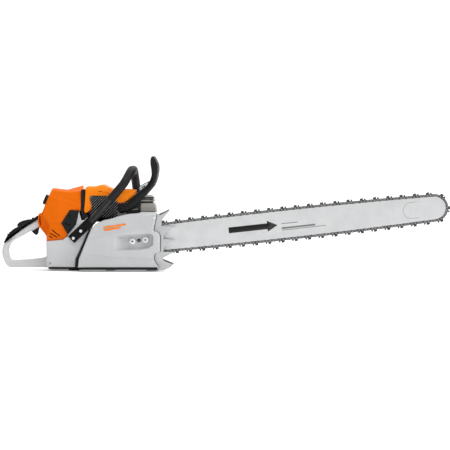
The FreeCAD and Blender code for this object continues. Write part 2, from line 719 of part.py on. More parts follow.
def handle_sleeve():
    """Rubber sleeve over the gripping length of the front handle."""
    points = tube_points()
    first = FreeCAD.Vector(*points[0])
    second = FreeCAD.Vector(*points[1])
    points[0] = tuple(first + (second - first) * 0.58)
    points = points[:6]
    points[5] = (74, size("handle_left"), size("handle_top") - 130)
    outer = swept(points, size("tube_radius") + size("sleeve_wall"), 42)
    inner = swept(points, size("tube_radius"), 42)
    return held("handle_sleeve", [outer.cut(inner)])


def handle_bracket():
    """Black steel bracket that joins the front handle to the tank housing."""
    plate = body("handle_bracket")
    add(plate, "-(tank_right + 5)", "-tank_right",
        [[(-130, 107), (-110, 87), (-74, 121), (-64, 133), (-50, 147), (-58, 166),
          (-68.5, 166)]])
    add(plate, "-(handle_right + tube_radius - 0.5)", "-(tank_right + 5)",
        [[(-65.5, 159), (-48.75, 144.75), (-64, 126.5), (-80.8, 140.7)]])
    cut(plate, "-(tank_right + 6)", "-(tank_right - 1)",
        circles=[(-113, 102, "screw_radius"), (-90, 124, "screw_radius")])
    return plate


def hand_guard():
    """Front hand guard and brake lever: two pivoted arms joined by the guard plate."""
    guard = body("hand_guard", FreeCAD.Vector(37, 0, 192))
    arm = [(-6, 12.6), (18.8, 15.7), (40.5, 37), (53, 49.8), (68, 62), (77.7, 74.6),
           (87, 90), (93, 115), (88.5, 136.6), (87, 149), (90, 161), (96, 164.5),
           (104, 155), (110, 143), (113, 127), (108.7, 96), (99.4, 71.5), (84, 53),
           (68, 40.5), (53, 25), (37.4, 6.4), (15.7, -7.5), (-6, -12.4), (-14, 0)]
    add(guard, "-guard_far", "-guard_near", [arm])
    add(guard, "guard_near", "guard_far", [arm])
    plate = [(86, 73), (96, 92), (101.5, 115), (99.5, 134), (94, 150), (90, 161),
             (96, 164.5), (104, 155), (110, 143), (113, 127), (108.7, 96), (99.4, 71.5)]
    add(guard, "-guard_near", "guard_near", [plate])
    cut(guard, "-guard_far - 1", "guard_far + 1",
        circles=[(0, 0, "guard_pin + running_gap")])
    return guard


# ---------------------------------------------------------------- starter side

def starter_cover():
    """Fan and starter housing with air slots, rope exit and pulley post."""
    cover = body("starter_cover")
    outline = [(-52, 16), (52, 16), (62, 34), (61, 118), (57, 148), (46, 164), (4, 164),
               (-34, 153), (-54, 128), (-66, 86), (-62, 36)]
    add(cover, "case_half", "starter_outer", [outline])
    rounded(cover, lambda e: abs(e.CenterOfMass.y - size("starter_outer")) < 0.01, "5")
    cut(cover, "case_half", "starter_outer - cover_wall",
        [[(-49, 19), (50, 19), (59, 36), (58, 117), (54, 146), (44, 161), (5, 161),
          (-32, 150), (-51, 127), (-63, 86), (-59, 37)]])
    post = "pulley_radius - 25 - running_gap"
    add(cover, 86, "starter_outer - 1", circles=[(0, "crank_height", post)])
    slots = []
    for number in range(7):
        slots.append(box_loop(-50 + 14 * number, 36, -43 + 14 * number, 52))
        slots.append(box_loop(-50 + 14 * number, 120, -43 + 14 * number, 136))
    cut(cover, "starter_outer - cover_wall - 1", "starter_outer + 1", slots[:-1])
    cut(cover, 155, 170, circles=[("pulley_radius - 3", 92, 3.4)], plane="XY_Plane")
    for x, z in ((-56, 50), (50, 24), (48, 146), (-40, 140)):
        add(cover, "case_half", "starter_outer - 2", circles=[(x, z, 5.5)])
        cut(cover, "starter_outer - 12", "starter_outer", circles=[(x, z, "screw_radius")])
    return cover


def starter_pulley():
    """Rope pulley of the recoil starter, running on the post in the cover."""
    return turned("starter_pulley", [
        (86.5, "pulley_radius - 25"), (86.5, "pulley_radius"), (88.5, "pulley_radius"),
        (89.5, "pulley_radius - 5.5"), (94.5, "pulley_radius - 5.5"), (95.5, "pulley_radius"),
        (98, "pulley_radius"), (98, 16), (102, 14), (102, "pulley_radius - 25")], CRANK)


def starter_rope():
    """Starter rope: its turns in the pulley groove and the straight run up to the grip."""
    reach = size("pulley_radius") - 3
    wound = Part.makeTorus(reach, 2.2, CRANK + FreeCAD.Vector(0, 92, 0), Y_AXIS)
    start = CRANK + FreeCAD.Vector(reach, 92, 0)
    run = Part.makeCylinder(2.1, 172 - start.z, start, Z_AXIS)
    return held("starter_rope", [wound.fuse(run)])


def starter_grip():
    """Pull handle of the starter, seated on top of the cover."""
    grip = body("starter_grip", FreeCAD.Vector(size("pulley_radius") - 3, 92, 164.3))
    add(grip, 0, 6, circles=[(0, 0, 7)], plane="XY_Plane")
    add(grip, -8, 8, [[(-20, 10), (-12, 5.5), (12, 5.5), (20, 10), (22, 18), (16, 22),
                       (-16, 22), (-22, 18)]])
    rounded(grip, lambda e: e.Curve.TypeId == "Part::GeomLine"
            and abs(e.tangentAt(e.FirstParameter).y) > 0.99 and e.CenterOfMass.z > 8, "3")
    cut(grip, -1, 9, circles=[(0, 0, 2.6)], plane="XY_Plane")
    return grip


# ---------------------------------------------------------------- clutch side

def oil_pump():
    """Chain oil pump plate around the crankshaft."""
    pump = body("oil_pump")
    add(pump, -52.7, "-case_half", circles=[(0, "crank_height", 25),
                                          (0, "crank_height", "journal_radius + 0.5")])
    add(pump, -52.7, "-case_half", [box_loop(-14, "crank_height - 38", 14,
                                          "crank_height - 22")])
    return pump


def clutch_hub():
    """Three-armed clutch hub screwed on the crankshaft."""
    hub = body("clutch_hub", CRANK)
    add(hub, -63.5, -54, circles=[(0, 0, 16)])
    arm = add(hub, -63.5, -54, [box_loop(10, -6, 24, 6)])
    star = hub.newObject("PartDesign::PolarPattern", "arms")
    star.Originals = [arm]
    star.Axis = (origin_item(hub, "Y_Axis"), [""])
    star.Angle = 360
    star.Occurrences = 3
    hub.Tip = star
    cut(hub, -64, -53, circles=[(0, 0, "shaft_right")])
    return hub


def clutch_shoes():
    """Three centrifugal shoes between the arms of the hub, at rest clear of the drum."""
    rim = Part.makeCylinder(size("drum_radius") - 3.4, 9.5, CRANK + FreeCAD.Vector(0, -63.5, 0),
                            Y_AXIS)
    rim = rim.cut(Part.makeCylinder(24.8, 12, CRANK + FreeCAD.Vector(0, -65, 0), Y_AXIS))
    shoes = []
    for number in range(3):
        wedge = Part.makeCylinder(60, 12, CRANK + FreeCAD.Vector(0, -65, 0), Y_AXIS, 108)
        wedge.rotate(CRANK, Y_AXIS, 120 * number + 6)
        shoes.append(rim.common(wedge))
    return held("clutch_shoes", shoes)


def clutch_drum():
    """Clutch drum with its long sleeve, running on the crankshaft stub."""
    bore = "shaft_right + running_gap"
    return turned("clutch_drum", [
        (-53.5, "drum_radius - 2.4"), (-53.5, "drum_radius"), (-67, "drum_radius"),
        (-67, "sleeve_radius"), (-83, "sleeve_radius"), (-83, bore), (-64.5, bore),
        (-64.5, "drum_radius - 2.4")], CRANK)


def rim_sprocket():
    """Floating rim sprocket on the sleeve: two strap flanges around the link channel."""
    rim = turned("rim_sprocket", [
        (-81, "sleeve_radius"), (-81, "rim_radius - 1"), (-80, "rim_radius"),
        (-76.2, "rim_radius"), (-76.2, 13.4), (-73.8, 13.4), (-73.8, "rim_radius"),
        (-70, "rim_radius"), (-69, "rim_radius - 1"), (-69, "sleeve_radius")], CRANK)
    window = cut(rim, -82, -77, circles=[(15.2, 0, 1.3)])
    ring = rim.newObject("PartDesign::PolarPattern", "windows")
    ring.Originals = [window]
    ring.Axis = (origin_item(rim, "Y_Axis"), [""])
    ring.Angle = 360
    ring.Occurrences = 7
    rim.Tip = ring
    return rim


def brake_band():
    """Steel brake band around the drum, open at its front."""
    band = body("brake_band", CRANK)
    add(band, -64, -54, circles=[(0, 0, "drum_radius + 2.3"), (0, 0, "drum_radius + 1")])
    cut(band, -65, -53, [box_loop(30, -14, 60, 14)])
    add(band, -54, "-case_half", [box_loop("-drum_radius - 2.3", -5, "-drum_radius - 1", 5)])
    return band


def bar_studs():
    """The two threaded studs that carry the bar and the cover."""
    studs = bar_body("bar_studs")
    add(studs, -111, -52, circles=[("stud_back", 0, "stud_radius"),
                                   ("stud_back + stud_pitch", 0, "stud_radius")])
    return studs


def hexagon(centre, reach):
    """Six corners about a point on the bar line."""
    return [(f"{centre} + {reach} * cos({60 * i})", f"{reach} * sin({60 * i})")
            for i in range(6)]


def bar_nuts():
    """Flanged hexagon nuts of the bar."""
    nuts = bar_body("bar_nuts")
    bores = [("stud_back", 0, "stud_radius"), ("stud_back + stud_pitch", 0, "stud_radius")]
    add(nuts, -99.5, -97, circles=[(across, up, "stud_radius + 6") for across, up, _ in bores]
        + bores)
    add(nuts, -109, -99.5, [hexagon(across, "(stud_radius + 3.9)") for across, _, _ in bores],
        bores)
    return nuts


def clutch_cover():
    """Clutch and sprocket cover: an outer shell with the nut recess and the bar pad."""
    cover = body("clutch_cover")
    outline = [(-96, 14), (-93, 40), (-64, 112), (-56, 130), (-43, 146), (-19, 158),
               (9, 164), (22, 169), (56, 178), (93, 180), (146, 180), (144, 164),
               (139.5, 146), (136.5, 129), (139.5, 124), (150, 121.5), (155, 116),
               (156.5, 108), (156.5, 62), (153.5, 59), (142.6, 57.4), (138, 50), (138, 37),
               (142.6, 28), (152, 15.5), (155, 14)]
    add(cover, "-cover_outer", "-case_half", [outline])
    rounded(cover, lambda e: abs(e.CenterOfMass.y + size("cover_outer")) < 0.01
            and e.Length > 8 and e.CenterOfMass.x < 100, "3")
    cut(cover, "-(cover_outer - cover_wall)", "-case_half",
        [[(-92.5, 17), (-90, 40), (-61, 111), (-53, 128), (-41, 143), (-17, 155), (10, 161),
          (23, 166), (56, 175), (93, 177), (170, 177), (170, 10), (134, 10), (134, 17)]])
    pad = [(49, 66), (136, 66), (136, 119), (49, 119)]
    add(cover, "-cover_outer + 1", "-(bar_plane + bar_thick / 2 + clear_gap)", [pad])
    for x, z in ((137, 163), (136, 32)):
        add(cover, "-cover_outer + 1", -93, circles=[(x, z, 6)])
    cut(cover, "-cover_outer - 1", -97,
        [[(52, 70), (92, 72), (128, 77), (133, 82), (133, 110), (128, 115.5), (52, 110)]])
    bores = []
    for number in (0, 1):
        along = f"(stud_back + {number} * stud_pitch)"
        bores.append((f"{along} * cos(bar_tilt)", f"crank_height + {along} * sin(bar_tilt)",
                      "stud_radius + 0.3"))
    middle = "(stud_back + stud_pitch / 2)"
    bores.append((f"{middle} * cos(bar_tilt)", f"crank_height + {middle} * sin(bar_tilt)",
                  "5 + running_gap"))
    cut(cover, -98, "-bar_plane", circles=bores)
    cut(cover, -90, "-(bar_plane + bar_thick / 2 + clear_gap)",
        [[(74, 65), (112, 69), (112, 84), (74, 80)]])
    return cover


SPIKE_TEETH = [(152, 177), (184.5, 192), (182, 184), (162, 160), (161, 140), (208, 139),
               (192, 133), (176, 121), (168.5, 110), (167.5, 100.5), (200, 98.5), (184, 88),
               (172, 78), (167, 69), (167, 61), (201, 60.5), (162, 40), (166, 37), (199, 24),
               (190, 14), (167, 3.5), (155, 3.5)]


def outer_spikes():
    """Outer bumper spike plate, inside the front edge of the clutch cover."""
    plate = body("outer_spikes")
    add(plate, -93, -90, [SPIKE_TEETH + [(140, 16), (129, 20), (129, 46), (140, 56),
                                         (141, 122), (129, 154), (129, 172)]],
        [(137, 163, "screw_radius"), (136, 32, "screw_radius")])
    return plate


def inner_spikes():
    """Inner bumper spike plate, against the crankcase."""
    plate = body("inner_spikes")
    add(plate, "-case_half - 3", "-case_half",
        [SPIKE_TEETH + [(140, 16), (126, 20), (126, 50), (137, 58), (137, 134), (126, 142),
                        (126, 170)]],
        [(132, 160, "screw_radius"), (132, 30, "screw_radius")])
    return plate


def tensioner_screw():
    """Slotted chain adjuster between the bar nuts."""
    screw = bar_body("tensioner_screw")
    middle = "stud_back + stud_pitch / 2"
    add(screw, -99, "-(bar_plane + bar_thick / 2 + clear_gap)", circles=[(middle, 0, 5)])
    cut(screw, -100, -97, [[(f"{middle} - 6", -0.8), (f"{middle} + 6", -0.8),
                            (f"{middle} + 6", 0.8), (f"{middle} - 6", 0.8)]])
    return screw


def tensioner_pin():
    """Sliding block of the adjuster, with the pin that moves the bar."""
    block = bar_body("tensioner_pin")
    face = "-(bar_plane + bar_thick / 2 + clear_gap)"
    add(block, -89, face, [box_loop("stud_back + 14", -25.5, "stud_back + 28", -15)])
    add(block, face, "-(bar_plane - bar_thick / 2)",
        circles=[("stud_back + 20", -20, "adjuster_pin")])
    return block


# ---------------------------------------------------------------- guide bar and chain

def bar_half(along):
    """Half height of the bar at a distance along it, as text for the sheet."""
    part = f"((({along}) - root_start) / (bar_reach - root_start))"
    return (f"(root_half * (1 - {part}) + nose_radius * {part}"
            f" + 4 * bar_belly * {part} * (1 - {part}))")


def bar_outline(inset):
    """Corners of the bar profile, moved inward by an inset."""
    tail = [("root_start - 30", "root_half - 1.5"), ("root_start - 56", "root_half - 5"),
            ("root_start - 70", "root_half - 10"), ("root_start - 79", "root_half - 18"),
            ("root_start - 83.5", "root_half - 27")]
    upper = [(f"{across} + ({inset}) * {lean}", f"{up} - ({inset})")
             for (across, up), lean in zip(reversed(tail), (0.95, 0.8, 0.6, 0.3, 0.1))]
    for step in range(15):
        along = f"(root_start + (bar_reach - root_start) * {step} / 14)"
        upper.append((along, f"{bar_half(along)} - ({inset})"))
    nose = [(f"bar_reach + (nose_radius - ({inset})) * cos({turn})",
             f"(nose_radius - ({inset})) * sin({turn})") for turn in range(84, -90, -6)]
    lower = [(across, f"-({up})") for across, up in reversed(upper)]
    return upper + nose + lower


def guide_bar():
    """Laminated guide bar with chain groove, stud slot, adjuster holes and nose pocket."""
    bar = bar_body("guide_bar")
    near = "-(bar_plane + bar_thick / 2)"
    far = "-(bar_plane - bar_thick / 2)"
    add(bar, near, far, [bar_outline("0")])
    cut(bar, "-(bar_plane + groove_width / 2)", "-(bar_plane - groove_width / 2)",
        [bar_outline("-4"), bar_outline("groove_depth")])
    cut(bar, "-(bar_plane + 1.5)", "-(bar_plane - 1.5)",
        circles=[("bar_reach", 0, "nose_radius + 4"), ("bar_reach", 0, "7")])
    slot = "(stud_radius + 0.4)"
    cut(bar, near, far, [box_loop("stud_back - 9", f"-{slot}", "stud_back + stud_pitch + 14",
                                  slot)])
    cut(bar, near, far, circles=[("stud_back + 20", -20, "adjuster_pin"),
                                 ("stud_back + 20", 20, "adjuster_pin"),
                                 ("stud_back + 2", 25, 2), ("stud_back + 2", -25, 2)])
    return bar


def nose_sprocket():
    """Toothed idler wheel inside the bar nose, running on its pin."""
    wheel = bar_body("nose_sprocket")
    teeth = 12
    rim = []
    for number in range(teeth):
        for offset, reach in ((-9, 24.5), (-3, 29.6), (3, 29.6), (9, 24.5)):
            turn = 360 / teeth * number + offset
            rim.append((f"bar_reach + {reach} * cos({turn})", f"{reach} * sin({turn})"))
    add(wheel, "-(bar_plane + 1.2)", "-(bar_plane - 1.2)", [rim],
        [("bar_reach", 0, "7 + running_gap")])
    return wheel


def number_of(text):
    """The value of a size expression, worked out by the sheet."""
    sheet.set("D1", "=" + text)
    sheet.recompute()
    return float(sheet.get("D1"))


def chain_path():
    """Closed line through the rivets: round the sprocket, along the bar, round the nose."""
    rise = size("rivet_rise")
    wind = size("wind_radius")
    reach = size("bar_reach")
    start = size("root_start")
    root = size("root_half")
    nose = size("nose_radius")
    belly = size("bar_belly")
    upper = []
    for step in range(0, 60):
        part = step / 59.0
        half = root * (1 - part) + nose * part + 4 * belly * part * (1 - part)
        upper.append((start + (reach - start) * part, half + rise))
    leave = 101.0
    around = [(wind * math.cos(math.radians(a)), wind * math.sin(math.radians(a)))
              for a in range(180, int(leave) - 1, -3)]
    entry = [(start - 56, root - 5 + rise), (start - 30, root - 1.5 + rise)]
    turn = [((nose + rise) * math.cos(math.radians(a)) + reach,
             (nose + rise) * math.sin(math.radians(a))) for a in range(88, 0, -3)]
    top = around + entry + upper + turn
    top.append((reach + nose + rise, 0.0))
    return top + [(x, -z) for x, z in reversed(top[1:-1])]


RIVETS = 216


def rivet_points():
    """Rivet centres at equal steps along the chain path."""
    path = chain_path()
    closed = path + [path[0]]
    lengths = [0.0]
    for (x0, z0), (x1, z1) in zip(closed, closed[1:]):
        lengths.append(lengths[-1] + math.hypot(x1 - x0, z1 - z0))
    step = lengths[-1] / RIVETS
    points = []
    index = 0
    for number in range(RIVETS):
        target = (number + 0.25) * step
        while lengths[index + 1] < target:
            index += 1
        share = (target - lengths[index]) / (lengths[index + 1] - lengths[index])
        x0, z0 = closed[index]
        x1, z1 = closed[index + 1]
        points.append((x0 + (x1 - x0) * share, z0 + (z1 - z0) * share))
    return points


POINTS = rivet_points()


def link_frame(number):
    """Placement of one link: X from its rear rivet to its front rivet, Z outward."""
    x0, z0 = POINTS[number]
    x1, z1 = POINTS[(number + 1) % RIVETS]
    angle = math.degrees(math.atan2(z1 - z0, x1 - x0))
    middle = FreeCAD.Vector((x0 + x1) / 2, -size("bar_plane"), (z0 + z1) / 2)
    return FreeCAD.Placement(middle, FreeCAD.Rotation(Y_AXIS, -angle))


def plate(corners, near, far):
    """A flat piece cut to corners in X and Z, between two Y coordinates."""
    wire = Part.makePolygon([FreeCAD.Vector(x, near, z) for x, z in corners + corners[:1]])
    return Part.Face(wire).extrude(FreeCAD.Vector(0, far - near, 0))


def chain_row(label, numbers, shapes_of):
    """Copies of a link shape at the given places on the chain."""
    row = []
    for number in numbers:
        for shape in shapes_of(number):
            copy = shape.copy()
            copy.Placement = link_frame(number)
            row.append(copy)
    return held(label, row, bar_placement())


LINK = math.dist(POINTS[0], POINTS[1]) / 2
INNER = size("link_thick") / 2 + 0.05
OUTER = INNER + size("strap_thick")
HOLE = 2.0


def drilled(shape, near, far):
    """The shape with its two rivet holes."""
    for place in (-LINK, LINK):
        shape = shape.cut(Part.makeCylinder(HOLE, far - near, FreeCAD.Vector(place, near, 0),
                                            Y_AXIS))
    return shape


def strap_corners():
    """Profile of a tie strap."""
    return [(-LINK - 4.1, -1), (-LINK - 3.2, -3.2), (-LINK - 1.5, -4.1), (LINK + 1.5, -4.1),
            (LINK + 3.2, -3.2), (LINK + 4.1, -1), (LINK + 4.1, 1), (LINK + 3, 3.2),
            (LINK + 1, 4.1), (LINK - 2, 3.6), (2 - LINK, 3.6), (-LINK - 1, 4.1),
            (-LINK - 3, 3.2), (-LINK - 4.1, 1)]


def chain_tie_straps():
    """Tie straps of both sides, including those opposite the cutters."""
    right = drilled(plate(strap_corners(), -OUTER, -INNER), -OUTER, -INNER)
    left = drilled(plate(strap_corners(), INNER, OUTER), INNER, OUTER)

    def shapes(number):
        if number % 4 == 2:
            return [right, left]
        return [left] if number % 8 == 0 else [right]
    return chain_row("chain_tie_straps", range(0, RIVETS, 2), shapes)


def chain_drive_links():
    """Drive links with their tangs in the groove."""
    corners = [(-LINK - 3.9, 1), (-LINK - 3.4, -2.6), (-LINK - 0.6, -4.2), (-3.2, -6.6),
               (-1.6, -8.8), (2.2, -8.9), (4.6, -6), (LINK + 0.6, -4.2), (LINK + 3.4, -2.6),
               (LINK + 3.9, 1), (LINK + 2, 3.6), (LINK - 2, 3.9), (0, 2.8), (2 - LINK, 3.9),
               (-LINK - 2, 3.6)]
    half = size("link_thick") / 2
    link = drilled(plate(corners, -half, half), -half, half)
    return chain_row("chain_drive_links", range(1, RIVETS, 2), lambda number: [link])


def cutter(side):
    """One cutter: strap, raised side plate, top plate and depth gauge."""
    near, far = (-OUTER, -INNER) if side < 0 else (INNER, OUTER)
    profile = [(-LINK - 4.1, -1), (-LINK - 3.2, -3.2), (-LINK - 1.5, -4.1),
               (LINK + 1.5, -4.1), (LINK + 3.2, -3.2), (LINK + 4.1, -1), (LINK + 4.3, 2.5),
               (LINK + 4.0, 6.8), (LINK + 2.2, 9.2), (LINK + 0.2, 8.8), (LINK - 1.2, 5.2),
               (2.4, 3.6), (0.8, 5), (0.4, 10), (-LINK - 3.4, 8.9), (-LINK - 4.4, 3)]
    solid = drilled(plate(profile, near, far), near, far)
    wide = (-4.5, -INNER) if side < 0 else (INNER, 4.5)
    cheek = plate([(0.6, 6.6), (0.4, 10), (-LINK - 3.4, 8.9), (-LINK - 3.8, 6.2)], *wide)
    solid = solid.fuse(cheek)
    inside = (-INNER, 0.9) if side < 0 else (-0.9, INNER)
    roof = plate([(1.3, 8.9), (1.1, 10.3), (-LINK - 3.0, 9.1), (-LINK - 2.6, 7.6)],
                 min(inside[0], wide[0]), max(inside[1], wide[1]))
    return solid.fuse(roof).removeSplitter()


def chain_cutters():
    """Left and right cutters in turn, every fourth link."""
    right = cutter(-1)
    left = cutter(1)
    return chain_row("chain_cutters", range(0, RIVETS, 4),
                     lambda number: [right] if number % 8 == 0 else [left])


def chain_rivets():
    """One rivet at every joint of the chain."""
    head = OUTER + 0.45
    rows = []
    for x, z in POINTS:
        start = FreeCAD.Vector(x, -size("bar_plane") - OUTER, z)
        pin = Part.makeCylinder(HOLE - size("running_gap"), 2 * OUTER, start, Y_AXIS)
        for place in (-head, OUTER):
            base = FreeCAD.Vector(x, -size("bar_plane") + place, z)
            pin = pin.fuse(Part.makeCylinder(HOLE + 0.7, head - OUTER, base, Y_AXIS))
        rows.append(pin)
    return held("chain_rivets", rows, bar_placement())


# ---------------------------------------------------------------- caps, buffers, small parts

def screw_cap(label, x, z, wall):
    """Slotted screw cap on the left side, with its flange outside the wall."""
    cap = body(label, FreeCAD.Vector(x, 0, z))
    add(cap, f"{wall} + 0.3", f"{wall} + 7", circles=[(0, 0, "cap_radius")])
    rounded(cap, lambda e: abs(e.CenterOfMass.y - number_of(f"{wall} + 7")) < 0.01, "2")
    add(cap, f"{wall} - 4", f"{wall} + 0.3", circles=[(0, 0, "cap_radius - 5 - running_gap")])
    cut(cap, f"{wall} + 4", f"{wall} + 8", [box_loop("-cap_radius + 5", -2.5,
                                                     "cap_radius - 5", 2.5)])
    return cap


def av_buffers():
    """Rubber buffers between the tank housing and the crankcase."""
    buffers = body("av_buffers")
    add(buffers, -108, -88, circles=[(-28, 26, 9), (28, 26, 9)], plane="YZ_Plane")
    cut(buffers, -40, 40, [[(-107, 11), (-105.4, 37), (-115, 37), (-115, 11)],
                           [(-92, 3), (-90, 38), (-80, 38), (-80, 3)]])
    return buffers


def gap_seal():
    """Black strip that closes the gap beside the buffers on the right."""
    strip = body("gap_seal")
    add(strip, -60, -40, [[(-107, 11), (-105.4, 37), (-94.5, 59), (-82.5, 87),
                           (-69.5, 115), (-64, 127), (-57.5, 130), (-65, 111.6),
                           (-94, 39.6), (-97, 11)]])
    return strip


def base_pad():
    """Rubber strip under the tank with the rear foot."""
    pad = body("base_pad")
    add(pad, -45, 55, [[(-193, 11), (-193, 5), (-130, 5), (-130, 0), (-98, 0), (-98, 11)]])
    return pad


def case_screws():
    """Socket screws of the bracket, cylinder, covers and spike plates."""
    gathered = []

    def screw(x, y, z, way, shank):
        head = Part.makeCylinder(4.5, 4, FreeCAD.Vector(x, y, z), way)
        socket = Part.makeCylinder(2.2, 2.4, FreeCAD.Vector(x, y, z) + way * 1.6, way)
        stem = Part.makeCylinder(size("screw_radius"), shank, FreeCAD.Vector(x, y, z), -way)
        gathered.append(head.cut(socket).fuse(stem))
    down = FreeCAD.Vector(0, -1, 0)
    for x, z in ((-113, 102), (-90, 124)):
        screw(x, -size("tank_right") - 5, z, down, 5)
    for x in (-38, 38):
        for y in (-34, 34):
            screw(x, y, size("deck_height") + 7, Z_AXIS, 7)
    for x, z in ((-56, 50), (50, 24), (48, 146), (-40, 140)):
        screw(x, size("starter_outer"), z, Y_AXIS, 10)
    for x, z in ((137, 163), (136, 32)):
        screw(x, -90, z, Y_AXIS, 3)
    for x, z in ((132, 160), (132, 30)):
        screw(x, -size("case_half") - 3, z, down, 3)
    return held("case_screws", gathered)


BUILT = [
    crankcase("crankcase_right", -1), crankcase("crankcase_left", 1), main_bearings(),
    crankshaft(), flywheel(), cylinder(), spark_plug(), plug_lead(), ignition_module(),
    piston(), wrist_pin(), connecting_rod(), muffler(), carburettor(), throttle_valve(),
    intake_boot(), air_filter(), filter_cover(), filter_knob(), side_panel(), top_shroud(),
    shroud_partition(), tank_housing(), grip_cover(), throttle_trigger(), throttle_lockout(),
    control_lever(), handle_tube(), handle_sleeve(), handle_bracket(), hand_guard(),
    starter_cover(), starter_pulley(), starter_rope(), starter_grip(), oil_pump(),
    clutch_hub(), clutch_shoes(), clutch_drum(), rim_sprocket(), brake_band(), bar_studs(),
    bar_nuts(), clutch_cover(), outer_spikes(), inner_spikes(), tensioner_screw(),
    tensioner_pin(), guide_bar(), nose_sprocket(), chain_cutters(), chain_drive_links(),
    chain_tie_straps(), chain_rivets(), screw_cap("fuel_cap", -150, 52, "tank_left"),
    screw_cap("oil_cap", 106, 52, "case_half"), av_buffers(), gap_seal(), base_pad(),
    case_screws(),
]

doc.recompute()
faults = []
for item in doc.Objects:
    if "Invalid" in item.State or "Error" in item.State:
        faults.append(f"{item.Name} ({item.getParentGeoFeatureGroup().Label})"
                      if item.getParentGeoFeatureGroup() else item.Name)
for part in BUILT:
    if part.Shape.isNull() or not part.Shape.isValid() or part.Shape.Volume <= 0:
        faults.append(f"{part.Label} has no sound shape")
if faults:
    raise RuntimeError("; ".join(faults))
for part in BUILT:
    part.Shape.exportStep(os.path.join("parts", part.Label + ".step"))
    print(part.Label, round(part.Shape.Volume / 1000, 1), len(part.Shape.Solids))
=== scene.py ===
"""Looks of the chainsaw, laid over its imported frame.  Metres; same frame as the CAD."""
import math
import bpy
import bmesh
from mathutils import Matrix, Vector


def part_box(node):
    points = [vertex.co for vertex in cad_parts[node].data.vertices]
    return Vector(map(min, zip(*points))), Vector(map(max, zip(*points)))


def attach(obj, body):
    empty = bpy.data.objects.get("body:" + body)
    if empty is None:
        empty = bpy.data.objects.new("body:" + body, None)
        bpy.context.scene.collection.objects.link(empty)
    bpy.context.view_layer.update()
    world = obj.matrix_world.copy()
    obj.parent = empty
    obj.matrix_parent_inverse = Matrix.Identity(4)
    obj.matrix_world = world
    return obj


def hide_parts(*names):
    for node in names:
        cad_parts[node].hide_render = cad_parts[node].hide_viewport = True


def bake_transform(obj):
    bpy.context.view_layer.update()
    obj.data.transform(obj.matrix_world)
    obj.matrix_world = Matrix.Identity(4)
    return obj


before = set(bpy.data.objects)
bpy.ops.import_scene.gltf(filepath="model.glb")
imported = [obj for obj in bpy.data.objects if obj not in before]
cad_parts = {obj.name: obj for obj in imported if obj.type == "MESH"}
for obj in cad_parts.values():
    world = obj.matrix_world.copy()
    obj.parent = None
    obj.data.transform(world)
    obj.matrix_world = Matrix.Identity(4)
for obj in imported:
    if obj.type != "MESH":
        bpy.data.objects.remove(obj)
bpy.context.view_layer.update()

MM = 0.001


# ------------------------------------------------------------------ materials

class Nodes:
    """A small builder for node materials."""

    def __init__(self, name):
        self.mat = bpy.data.materials.new(name)
        self.mat.use_nodes = True
        self.tree = self.mat.node_tree
        self.tree.nodes.clear()
        self.out = self.add("ShaderNodeOutputMaterial")
        self.bsdf = self.add("ShaderNodeBsdfPrincipled")
        self.tree.links.new(self.bsdf.outputs[0], self.out.inputs["Surface"])
        self.where = self.add("ShaderNodeTexCoord").outputs["Object"]

    def add(self, kind, **props):
        node = self.tree.nodes.new(kind)
        for key, value in props.items():
            setattr(node, key, value)
        return node

    def link(self, a, b):
        self.tree.links.new(a, b)

    def put(self, node, name, value):
        socket = node.inputs[name]
        if hasattr(value, "is_output"):
            self.link(value, socket)
        else:
            socket.default_value = value

    def mapped(self, scale=(1, 1, 1), turn=(0, 0, 0)):
        node = self.add("ShaderNodeMapping")
        self.link(self.where, node.inputs["Vector"])
        node.inputs["Scale"].default_value = scale
        node.inputs["Rotation"].default_value = turn
        return node.outputs[0]

    def noise(self, scale, detail=3.0, rough=0.5, vector=None, distortion=0.0):
        node = self.add("ShaderNodeTexNoise")
        self.link(vector or self.where, node.inputs["Vector"])
        node.inputs["Scale"].default_value = scale
        node.inputs["Detail"].default_value = detail
        node.inputs["Roughness"].default_value = rough
        node.inputs["Distortion"].default_value = distortion
        return node.outputs["Fac"]

    def voronoi(self, scale, vector=None, feature="F1", output="Distance"):
        node = self.add("ShaderNodeTexVoronoi", feature=feature)
        self.link(vector or self.where, node.inputs["Vector"])
        node.inputs["Scale"].default_value = scale
        return node.outputs[output]

    def spread(self, value, low, high, to_low=0.0, to_high=1.0):
        node = self.add("ShaderNodeMapRange")
        self.link(value, node.inputs["Value"])
        node.inputs["From Min"].default_value = low
        node.inputs["From Max"].default_value = high
        node.inputs["To Min"].default_value = to_low
        node.inputs["To Max"].default_value = to_high
        return node.outputs[0]

    def math(self, kind, a, b):
        node = self.add("ShaderNodeMath", operation=kind)
        for socket, value in zip(node.inputs, (a, b)):
            if hasattr(value, "is_output"):
                self.link(value, socket)
            else:
                socket.default_value = value
        return node.outputs[0]

    def mix(self, fac, a, b):
        node = self.add("ShaderNodeMix", data_type="RGBA")
        for name, value in (("Factor", fac), ("A", a), ("B", b)):
            socket = [s for s in node.inputs if s.name == name and s.enabled][-1]
            if hasattr(value, "is_output"):
                self.link(value, socket)
            else:
                socket.default_value = value if name == "Factor" else (*value, 1.0)
        return [s for s in node.outputs if s.enabled][0]

    def bump(self, height, strength, distance, under=None):
        node = self.add("ShaderNodeBump")
        node.inputs["Strength"].default_value = strength
        node.inputs["Distance"].default_value = distance
        self.link(height, node.inputs["Height"])
        if under is not None:
            self.link(under, node.inputs["Normal"])
        return node.outputs[0]


